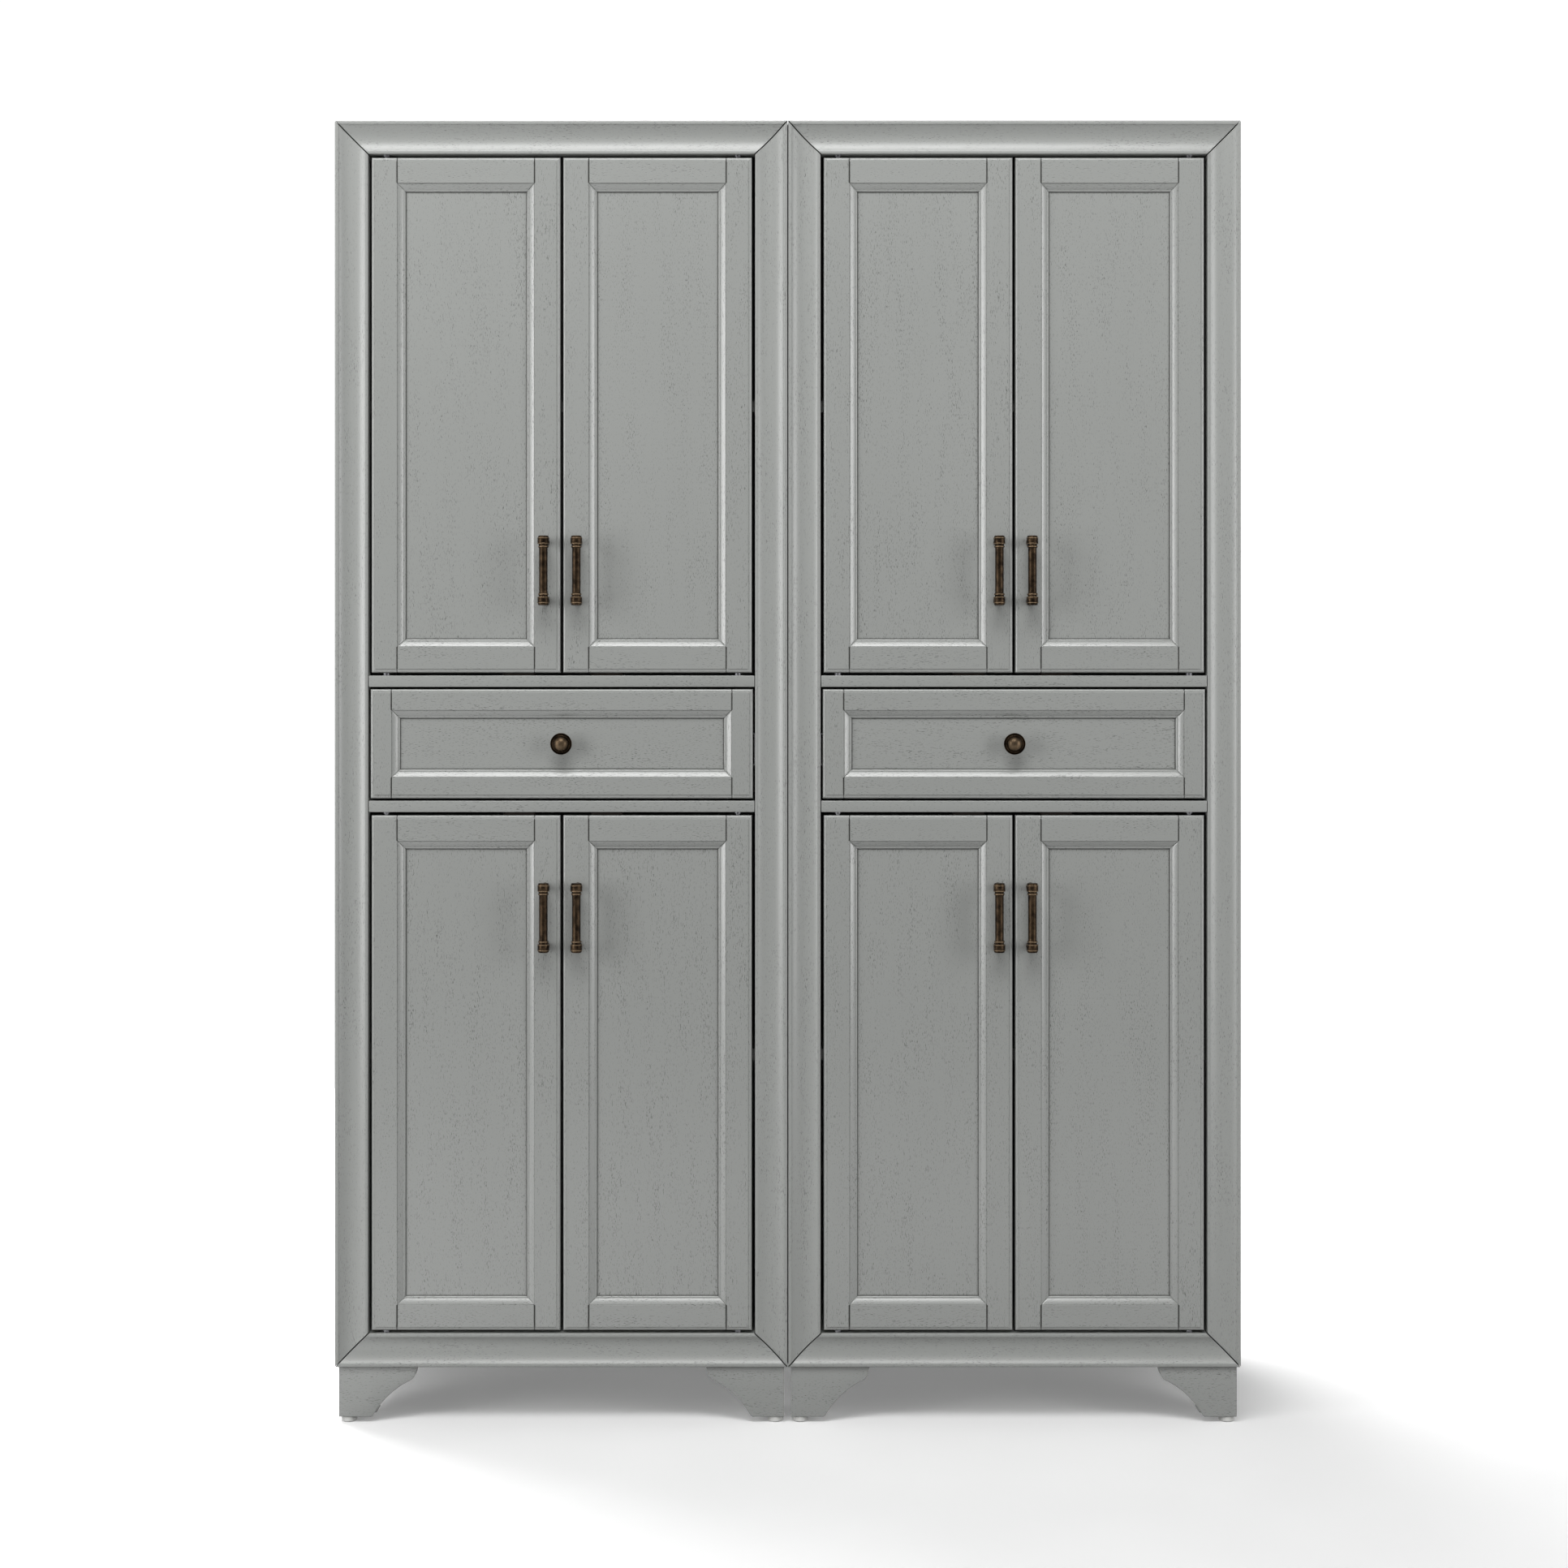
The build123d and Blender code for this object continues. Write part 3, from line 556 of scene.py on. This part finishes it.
def member(length, flat, is_stile):
    """Grid (v, depth, s, darkening) of a member, the darkening being glaze with painted shade; s
    runs along it from its own end of the front.

    v is the smaller of the section's v and c(s), with c held between flat and flat + STICKING."""
    inner = flat + STICKING
    ends = [flat, flat + 0.5, flat + JOINT_V, *np.linspace(flat + 2, inner, 7), inner + 12]
    if is_stile:
        ends = [*EDGE[:, 0], 6.4, flat - 1.0, flat - 0.2] + ends
    ends = np.array(ends)
    s = np.concatenate([ends, (length - ends)[::-1]])[None, :]
    from_end = np.minimum(s, length - s)
    section = member_section(flat)
    v = np.minimum(section[:, :1], np.clip(from_end, flat, inner))
    depth = np.broadcast_to(section[:, 1:], v.shape)
    if is_stile:
        beside_joint = from_end < flat - 0.1
        into_v = np.where(beside_joint, np.clip(v - flat + JOINT_V, 0, JOINT_V), 0)
        depth = np.maximum(depth, edge_depth(from_end))
    else:
        into_v = np.clip(JOINT_V - (from_end - flat), 0, JOINT_V)
    depth = np.maximum(depth, into_v)
    # Painted shade with glaze: darker in the step by the edge, the quirk, the fillet, beside the
    # panel and in the joint's V.
    recess = np.maximum.reduce(
        [0.35 * near(v, 4.4, 0.9), 0.6 * near(v, flat + 0.6, 0.7), 0.3 * near(v, flat + 8.6, 0.9)]
    )
    recess = np.maximum(recess, 0.7 * near(v, inner, 0.7))
    if is_stile:
        recess = np.maximum(recess, 0.35 * near(from_end, 4.4, 0.9))
    glaze_and_shade = np.maximum(recess, 2.2 * into_v / JOINT_V) * (depth < 9)
    return v, depth, np.broadcast_to(s, v.shape), glaze_and_shade.clip(0, 1)


door_low, door_high = box_mm("left_cabinet_upper_left_door_frame")
stile_points = member(door_high[2] - door_low[2], DOOR_FLAT, is_stile=True)[0].size
print("a door stile has", stile_points, "points")

# %% Panels


def fine_lines(reach, length):
    """Stations across a panel from reach on, close together by its edges."""
    near_edge = np.array([0.0, 7.0, 8.0, 9.5, 12.0, 17.0, 27.0])
    return np.concatenate([near_edge, (length - near_edge)[::-1]]) + reach


def front_panel(name, low, width, height, flat, body, replaces):
    """A flat panel: a front grid dense by its edges, the same grid as a back, and four sides.

    Glaze with painted shade darkens the panel beside the sticking, where it lies in the recess,
    fading out over 30 mm. The grain follows the longer side."""
    hidden = flat + STICKING - 7
    x = fine_lines(hidden, width - 2 * hidden)
    z = fine_lines(hidden, height - 2 * hidden)
    grid_x, grid_z = np.meshgrid(x, z, indexing="ij")
    rim = np.minimum.reduce([grid_x, width - grid_x, grid_z, height - grid_z]) - hidden - 7
    # Painted shade with glaze: darkest where the panel meets the sticking, fading out 30 mm into
    # the panel.
    glaze_and_shade = np.interp(rim, [0, 1.0, 3.0, 12, 30], [1.0, 0.50, 0.18, 0.07, 0.0])
    front = np.stack([grid_x, np.full_like(grid_x, PANEL_DEPTH), grid_z], axis=-1).reshape(-1, 3)
    back = front + [0, PANEL_THICK, 0]
    rows, columns = grid_x.shape
    quads = grid_quads(rows, columns)
    ring = np.concatenate(
        [
            np.arange(columns),
            np.arange(1, rows) * columns + columns - 1,
            (rows - 1) * columns + np.arange(columns - 2, -1, -1),
            np.arange(rows - 2, 0, -1) * columns,
        ]
    )
    following = np.roll(ring, -1)
    sides = np.stack([ring, following, following + len(front), ring + len(front)], axis=-1)
    faces = np.concatenate([quads, quads[:, ::-1] + len(front), sides]).tolist()
    points = np.concatenate([front, back])
    order = [2, 0, 1] if height > width else [0, 2, 1]
    grain = points[:, order] * MM + chance.uniform(1, 9, 3)
    make_piece(
        name,
        points + low,
        faces,
        {"grain": grain, "glaze_and_shade": np.concatenate([glaze_and_shade.ravel(), glaze_and_shade.ravel()])},
        grey_paint_boards,
        body,
        replaces,
    )


print("panels lie", PANEL_DEPTH, "mm behind the face")

# %% Put the framed fronts together


def framed_front(prefix, body, flat):
    """Four members and a panel in place of one CAD frame and its panel."""
    low, high = box_mm(f"{prefix}_frame")
    width, height = (high - low)[[0, 2]]
    rows = len(member_section(flat))
    for place in ("left_stile", "right_stile", "bottom_rail", "top_rail"):
        upright = place.endswith("stile")
        v, depth, s, glaze_and_shade = member(height if upright else width, flat, upright)
        mirrored = {"right_stile": width - v, "top_rail": height - v}
        across = mirrored.get(place, v)
        x, z = (across, s) if upright else (s, across)
        points = np.stack([x, depth, z], axis=-1).reshape(-1, 3) + low
        grain = np.stack([s, v, depth], axis=-1).reshape(-1, 3) * MM + chance.uniform(1, 9, 3)
        make_piece(
            f"{prefix}_{place}",
            points,
            tube_faces(rows, s.shape[1]),
            {"grain": grain, "glaze_and_shade": glaze_and_shade.ravel()},
            grey_paint_boards,
            body,
            [f"{prefix}_frame"],
            crisp=40,
        )
    front_panel(f"{prefix}_panel_board", low, width, height, flat, body, [f"{prefix}_panel"])


for cabinet in CABINETS:
    for level in LEVELS:
        for side in SIDES:
            door = f"{cabinet}_cabinet_{level}_{side}_door"
            framed_front(door, door, DOOR_FLAT)
    drawer = f"{cabinet}_cabinet_drawer"
    framed_front(f"{drawer}_front", drawer, DRAWER_FLAT)
print("framed fronts: 8 doors and 2 drawers")

# %% [markdown]
# ## Boards with eased edges
#
# The drawer rails, the blocks behind the feet and the strike plates of the catches are plain
# boards whose edges have been eased. Such a board is a rounded rectangle carried along its
# length. At both ends the outline shrinks as the length runs out, so the end edges are eased too.

# %% Eased boards


def eased_board(low, high, ease, along):
    """Points and faces of a board between two corners; along is the axis of its length.

    The outline is four quarter circles of radius ease. At a turn t from the end's flat face, a
    station is ease * (1 - cos t) in from the end, and the outline is ease * (1 - sin t) smaller."""
    low, high = np.array(low), np.array(high)
    size, middle = high - low, (low + high) / 2
    across = [axis for axis in range(3) if axis != along]
    half_a, half_b = size[across] / 2 - ease
    outline = np.concatenate(
        [
            arc((sign_a * half_a, sign_b * half_b), ease, start, start + 90, 5)
            for start, sign_a, sign_b in ((0, 1, 1), (90, -1, 1), (180, -1, -1), (270, 1, -1))
        ]
    )
    turn = np.radians(np.linspace(0, 90, 5))
    run, shrink = ease * (1 - np.cos(turn)), ease * (1 - np.sin(turn))
    stations = np.concatenate([run, size[along] - run[::-1]])
    shrink = np.concatenate([shrink, shrink[::-1]])
    points = np.zeros((len(outline), len(stations), 3))
    spread = outline[:, None, :] - np.sign(outline)[:, None, :] * shrink[None, :, None]
    points[:, :, across] = middle[across] + spread
    points[:, :, along] = low[along] + stations
    return points.reshape(-1, 3), tube_faces(len(outline), len(stations))


def board_piece(name, low, high, ease, along, material, body, replaces):
    """An eased board with its grain along its length."""
    points, faces = eased_board(low, high, ease, along)
    order = [along] + [axis for axis in range(3) if axis != along]
    grain = (points[:, order] - np.array(low)[order]) * MM + chance.uniform(1, 9, 3)
    attributes = {"grain": grain, "glaze_and_shade": np.zeros(len(points))}
    make_piece(name, points, faces, attributes, material, body, replaces)


print("eased boards ready")

# %% Drawer rails and strike plates
RAIL_HIGH = 16.0
STRIKE_LONG, STRIKE_HIGH, STRIKE_THICK = 36.0, 12.0, 1.0
STRIKE_FROM_MEETING = 60.0
for cabinet in CABINETS:
    low, high = box_mm(f"{cabinet}_cabinet_drawer_rails")
    rails = {"lower": low[2], "upper": high[2] - RAIL_HIGH}
    for level, base in rails.items():
        board_piece(
            f"{cabinet}_cabinet_{level}_drawer_rail",
            (low[0], low[1], base),
            (high[0], high[1], base + RAIL_HIGH),
            1.0,
            0,
            grey_paint_boards,
            "cabinets",
            [f"{cabinet}_cabinet_drawer_rails"],
        )
    for level in LEVELS:
        for side in SIDES:
            door = f"{cabinet}_cabinet_{level}_{side}_door"
            low, high = box_mm(f"{door}_frame")
            inwards = STRIKE_FROM_MEETING
            middle = high[0] - inwards if side == "left" else low[0] + inwards
            base = low[2] + 1 if level == "upper" else high[2] - 1 - STRIKE_HIGH
            board_piece(
                f"{door}_strike_plate",
                (middle - STRIKE_LONG / 2, high[1] - STRIKE_THICK, base),
                (middle + STRIKE_LONG / 2, high[1], base + STRIKE_HIGH),
                0.3,
                0,
                zinc,
                door,
                [f"{door}_frame"],
            )
print("drawer rails and strike plates made")

# %% [markdown]
# ## Bracket feet
#
# Each corner stands on two shaped boards mitred together, with a block glued behind them. The
# lower edge runs flat under the corner, sweeps up in a hollow and ends in a small shoulder. Seen
# from the front a board is everything between that lower line and its straight top, so it is
# drawn as stations along the lower line, each with a thin rounded rectangle of that height. The
# mitre at the corner is the rule x >= depth. The side board is the same one with x and y swapped.

# %% Bracket feet
FOOT_LONG = 110.0
FOOT_HIGH = 71.0
FOOT_EASE = 1.2
# Height of the band at the top of each foot board painted dark as the moulding's shadow.
FOOT_SHADE_BAND = 2.5
BLOCK = 30.0


def foot_line():
    """The lower edge of a foot board, as (x, height), from the corner outwards."""
    sole = np.stack([[0, 1.5, 8, 20.0, 21.5, 30, 40, 44.0], np.zeros(8)], axis=-1)
    heel = arc_through((44.0, 0.0), (46.2, 0.5), (47.8, 2.0), 5)
    hollow = arc_through((47.8, 2.0), (72.0, 32.0), (97.0, 49.5), 26)[1:]
    shoulder = arc_through((97.0, 49.5), (104.5, 54.5), (107.8, 61.5), 10)[1:]
    tip = [[109.2, 67.5], [FOOT_LONG, FOOT_HIGH - 0.01]]
    return np.concatenate([sole, heel[1:], hollow, shoulder, tip])


def foot_board():
    """Points (x, depth, z) and faces of the front board of a left foot, sole at z = 0.

    z is the lower line plus the rounding of its arrises, capped by the top. x is the larger of the
    line's x and the depth, which is the mitre. A row just below the top bounds the painted shadow
    that the moulding's overhang casts there."""
    line = foot_line()
    ease = arc((FOOT_EASE, FOOT_EASE), FOOT_EASE, 180, 270, 5)
    far = arc((THICK - FOOT_EASE, FOOT_EASE), FOOT_EASE, 270, 360, 5)
    lower = np.concatenate([ease, far])
    near_top = FOOT_HIGH - FOOT_SHADE_BAND
    depth = np.concatenate([[0.0, 0.0], lower[:, 0], [THICK, THICK]])[:, None]
    lift = np.concatenate([[0.0, 0.0], lower[:, 1], [0.0, 0.0]])[:, None]
    top = [FOOT_HIGH, near_top]
    floor = np.concatenate([top, np.zeros(len(lower)), top[::-1]])[:, None]
    z = np.clip(line[:, 1][None, :] + lift, floor, FOOT_HIGH)
    x = np.maximum(line[:, 0][None, :], depth)
    depth = np.broadcast_to(depth, z.shape)
    points = np.stack([x, depth, z], axis=-1).reshape(-1, 3)
    return points, tube_faces(*z.shape)


board_points, board_faces = foot_board()
print("feet:", len(foot_line()), "points along the lower line")

# %% Put a foot under each corner
for cabinet in CABINETS:
    low, high = box_mm(f"{cabinet}_cabinet_bracket_feet")
    for side in SIDES:
        for end in ("front", "back"):
            sign = np.array([1 if side == "left" else -1, 1 if end == "front" else -1, 1])
            x = low[0] if side == "left" else high[0]
            y = low[1] if end == "front" else high[1]
            corner = np.array([x, y, low[2]])
            foot = f"{cabinet}_cabinet_{end}_{side}_foot"
            for kind, swap in (("face_board", [0, 1, 2]), ("side_board", [1, 0, 2])):
                grain = board_points * MM + chance.uniform(1, 9, 3)
                make_piece(
                    f"{foot}_{kind}",
                    board_points[:, swap] * sign + corner,
                    board_faces,
                    # Painted shadow under the moulding's overhang, darkest at the top of the board.
                    {"grain": grain, "glaze_and_shade": near(board_points[:, 2], FOOT_HIGH, FOOT_SHADE_BAND)},
                    grey_paint_boards,
                    "cabinets",
                    [f"{cabinet}_cabinet_bracket_feet"],
                )
            near_corner = corner + sign * [THICK, THICK, 0]
            far_corner = corner + sign * [THICK + BLOCK, THICK + BLOCK, high[2] - low[2]]
            board_piece(
                f"{foot}_block",
                np.minimum(near_corner, far_corner),
                np.maximum(near_corner, far_corner),
                1.5,
                2,
                grey_paint_boards,
                "cabinets",
                [f"{cabinet}_cabinet_bracket_feet"],
            )
print("feet: 8, each two boards and a block")

# %% [markdown]
# ## Turned metalware
#
# Handles and knobs are turned shapes: a profile of radius against length, spun about an axis. The
# handle's bar has a cap, a groove and a ring at each end, so only half its profile is written and
# the other half is its reflection. Its two posts and its screws, and the knob with its stem, are
# turned about the depth axis in the same way.

# %% Lathe
FACETS = 48
BAR_OUT = 26.0


def turned(profile, axis, centre):
    """Points of a profile (radius, length) spun about an axis through a centre.

    At a turn t the point is radius * (cos t, sin t) across the axis and length along it."""
    radius, length = profile[:, :1], profile[:, 1:]
    turn = np.linspace(0, 2 * np.pi, FACETS + 1)[None, :]
    points = np.zeros((len(profile), FACETS + 1, 3))
    sides = [k for k in range(3) if k != axis]
    points[:, :, sides[0]] = radius * np.cos(turn)
    points[:, :, sides[1]] = radius * np.sin(turn)
    points[:, :, axis] = length
    return points.reshape(-1, 3) + centre, grid_quads(len(profile), FACETS + 1)


def join_shells(shells):
    """Several closed shells as one: each one's quads are raised by the number of points before."""
    offsets = np.cumsum([0] + [len(points) for points, _, _ in shells[:-1]])
    points = np.concatenate([s[0] for s in shells])
    faces = np.concatenate([s[1] + offset for s, offset in zip(shells, offsets)])
    return points, faces.tolist(), np.concatenate([s[2] for s in shells])


def shell(profile, axis, centre, rims=(), wear_and_sheen_margin=2.5):
    """A turned shell with paler metal painted on its rims, each given as (length, reach).

    The paler metal stands for rubbing and painted sheen together. It falls off linearly along the
    length, and stops where the radius is smaller than the largest by more than the given margin."""
    points, quads = turned(profile, axis, np.array(centre, float))
    wear_and_sheen, outer = np.zeros(len(profile)), profile[:, 0].max()
    for place, reach in rims:
        wide = profile[:, 0] > outer - wear_and_sheen_margin
        wear_and_sheen = np.maximum(wear_and_sheen, near(profile[:, 1], place, reach) * wide)
    return points, quads, np.repeat(wear_and_sheen, FACETS + 1)


def bar_profile():
    """Half the handle as (radius, length): bar, ring, neck, cap between two rims, domed lid."""
    ring = arc((6.0, 33.2), 1.4, -80, 80, 9)
    inner_rim = arc((7.9, 37.5), 0.6, -80, 80, 6)
    outer_rim = arc((7.9, 45.2), 0.6, -80, 80, 6)
    lid = arc((5.9, 47.0), 1.5, 0, 90, 7)
    bar = [[6.0, 0.0], [6.0, 15.0], [6.0, 31.0]]
    neck = [[6.5, 35.0], [6.5, 36.6]]
    barrel = [[8.15, 38.4], [8.15, 44.3]]
    quirk = [[7.4, 46.1]]
    cap = [inner_rim, barrel, outer_rim, quirk, lid, [[0.0, 48.5]]]
    return np.concatenate([bar, ring, neck, *cap])


def post_profile():
    """A post from the door's face out to the bar: flange, hollow neck."""
    hollow = arc((6.2, -3.2), 1.2, 90, 180, 6)
    flange = [[0, 0], [6.2, 0.0], [6.2, -1.4]]
    return np.concatenate([flange, hollow, [[5.0, -BAR_OUT], [0, -BAR_OUT]]])


def screw_profile(head, tip):
    """A screw with a domed head behind depth head, its shank running forward to tip."""
    dome = arc((0.0, head - 2.0), 4.5, 90, 26, 8)
    shank = [[4.3, head], [2.0, head], [2.0, tip + 0.6], [1.4, tip], [0, tip]]
    return np.concatenate([dome, shank])


print("turned shapes ready")

# %% Handles
POSTS = (-41.5, 41.5)
# Rims of the bar painted paler: rubbed metal together with a painted highlight.
RUBBED_SHEEN_RINGS = (33.2, 37.5, 45.2)
half_bar = bar_profile()
whole_bar = np.concatenate([half_bar[::-1] * [1, -1], half_bar[1:]])
for cabinet in CABINETS:
    for level in LEVELS:
        for side in SIDES:
            door = f"{cabinet}_cabinet_{level}_{side}_door"
            low, high = box_mm(f"{door}_handle")
            x, z = (low[0] + high[0]) / 2, (low[2] + high[2]) / 2
            rims = [(place * sign, 0.9) for place in RUBBED_SHEEN_RINGS for sign in (-1, 1)]
            shells = [shell(whole_bar, 2, (x, FACE - BAR_OUT, z), rims)]
            for post in POSTS:
                shells.append(shell(post_profile(), 1, (x, FACE, z + post), [(-1.0, 1.0)]))
                shells.append(shell(screw_profile(THICK, -9.0), 1, (x, FACE, z + post)))
            points, faces, wear_and_sheen = join_shells(shells)
            make_piece(
                f"{door}_bar_handle",
                points,
                faces,
                {"wear_and_sheen": wear_and_sheen},
                bronze,
                door,
                [f"{door}_handle"],
            )
print("handles:", len(whole_bar), "points along the bar's profile")

# %% Knobs
DRAWER_BOARD = 12.0
# The foot rim is rubbed metal with a painted highlight; the crown's paler middle is a painted
# reflection of the room.
FOOT_RIM, CROWN_SHEEN = (-1.0, 1.0), (-40.0, 22.0)


def knob_profile():
    """The knob as (radius, length): foot, stem, cup, rim, cove, and an elliptical crown."""
    stem = arc((11.0, -7.0), 4.5, 120, 240, 8)
    cup = arc_through((8.75, -10.9), (11.5, -14.2), (14.4, -16.4), 8)[1:]
    rim = arc((14.5, -17.2), 0.7, 70, -80, 8)
    cove = arc_through((14.2, -17.4), (12.4, -15.6), (10.9, -16.4), 6)
    turn = np.radians(np.linspace(0, 90, 20))
    crown = np.stack([10.8 * np.cos(turn), -16.6 - 9.4 * np.sin(turn)], axis=-1)
    return np.concatenate([[[0, 0], [8.5, 0.0], [8.5, -1.6]], stem, cup, rim, cove, crown])


for cabinet in CABINETS:
    drawer = f"{cabinet}_cabinet_drawer"
    low, high = box_mm(f"{drawer}_knob")
    x, z = (low[0] + high[0]) / 2, (low[2] + high[2]) / 2
    shells = [
        shell(knob_profile(), 1, (x, FACE + PANEL_DEPTH, z), [FOOT_RIM, CROWN_SHEEN], wear_and_sheen_margin=20.0),
        shell(screw_profile(THICK + DRAWER_BOARD, -4.0), 1, (x, FACE, z)),
    ]
    points, faces, wear_and_sheen = join_shells(shells)
    make_piece(
        f"{drawer}_turned_knob",
        points,
        faces,
        {"wear_and_sheen": wear_and_sheen},
        bronze,
        drawer,
        [f"{drawer}_knob"],
    )
print("knobs:", len(knob_profile()), "points along the profile")

# %% [markdown]
# ## Floor, light and camera
#
# The pair stands in a white studio: a pale floor, a tall softbox on each side, one overhead, one
# behind for the floor, and white all round. The side boxes stand well out, so slopes that face
# them light up and handles throw soft shadows. The floor shows, but throws no light back on the
# wood, so the feet stay as dark as they would in a large room. The camera is level, at about chest
# height, straight in front of the seam. Its view is shifted down, so that uprights stay upright.

# %% Studio
scene = bpy.context.scene
scene.view_settings.view_transform = "Standard"
FULL_WHITE = 1.05


def studio_floor():
    """One wide quad at the floor's height: white acrylic, faintly lit from beneath."""
    half, reach = 3.2, 2.8
    corners = [(-half, -reach, 0), (half, -reach, 0), (half, reach, 0), (-half, reach, 0)]
    mesh = bpy.data.meshes.new("studio_floor")
    mesh.from_pydata(corners, [], [(0, 1, 2, 3)])
    acrylic = mottled("lit_acrylic", (0.86, 0.86, 0.86, 1), (0.88, 0.88, 0.88, 1), 3, 0.0, 0.6, 0.7)
    shader = acrylic.node_tree.nodes["Principled BSDF"]
    shader.inputs["Emission Color"].default_value = (1, 1, 1, 1)
    shader.inputs["Emission Strength"].default_value = 0.16
    mesh.materials.append(acrylic)
    floor = bpy.data.objects.new("studio_floor", mesh)
    scene.collection.objects.link(floor)
    floor.visible_diffuse = False


def softbox(name, place, aim, size, power):
    """A rectangular area light at a place, facing a point."""
    light = bpy.data.lights.new(name, "AREA")
    light.shape = "RECTANGLE"
    light.size, light.size_y = size
    light.energy = power
    lamp = bpy.data.objects.new(name, light)
    lamp.location = place
    lamp.rotation_euler = (Vector(aim) - Vector(place)).to_track_quat("-Z", "Y").to_euler()
    scene.collection.objects.link(lamp)


def white_surround(strength, mirrored):
    """A white world: full white to the eye, softer in reflections, softest as light."""
    world = bpy.data.worlds.new("white_surround")
    world.use_nodes = True
    tree = world.node_tree
    tree.nodes.clear()
    path = node(tree, "ShaderNodeLightPath").outputs
    shown = maths(tree, "MULTIPLY_ADD", path["Is Glossy Ray"], mirrored - strength, strength)
    shown = maths(tree, "MULTIPLY_ADD", path["Is Camera Ray"], FULL_WHITE - strength, shown)
    background = node(tree, "ShaderNodeBackground", {"Color": (1, 1, 1, 1), "Strength": shown})
    output = node(tree, "ShaderNodeOutputWorld")
    tree.links.new(background.outputs[0], output.inputs["Surface"])
    scene.world = world


studio_floor()
white_surround(0.12, 0.35)
AIM = (0.0, -0.1, 1.3)
softbox("left_softbox", (-2.9, -1.9, 1.45), AIM, (1.2, 2.3), 54)
softbox("right_softbox", (2.9, -1.9, 1.45), AIM, (1.0, 2.3), 40)
softbox("overhead_softbox", (-0.3, -2.4, 4.2), AIM, (3.0, 1.6), 105)
softbox("floor_backlight", (-1.6, 2.6, 4.4), (0.2, 0.9, 0.0), (3.8, 2.6), 405)

# %% Camera
SENSOR = 36.0
FOCAL_LENGTH = 53.907
DOWNWARD_SHIFT = -0.0415
CAMERA_ASIDE, CAMERA_HIGH = -0.0054, 0.989
CAMERA_DISTANCE = 3.3

camera_data = bpy.data.cameras.new("camera")
camera_data.sensor_width = SENSOR
camera_data.lens = FOCAL_LENGTH
camera_data.shift_y = DOWNWARD_SHIFT
camera = bpy.data.objects.new("camera", camera_data)
camera.location = (CAMERA_ASIDE, FACE * MM - CAMERA_DISTANCE, CAMERA_HIGH)
camera.rotation_euler = (np.radians(90), 0, 0)
scene.collection.objects.link(camera)
scene.camera = camera
print("camera", CAMERA_DISTANCE, "m in front of the doors")
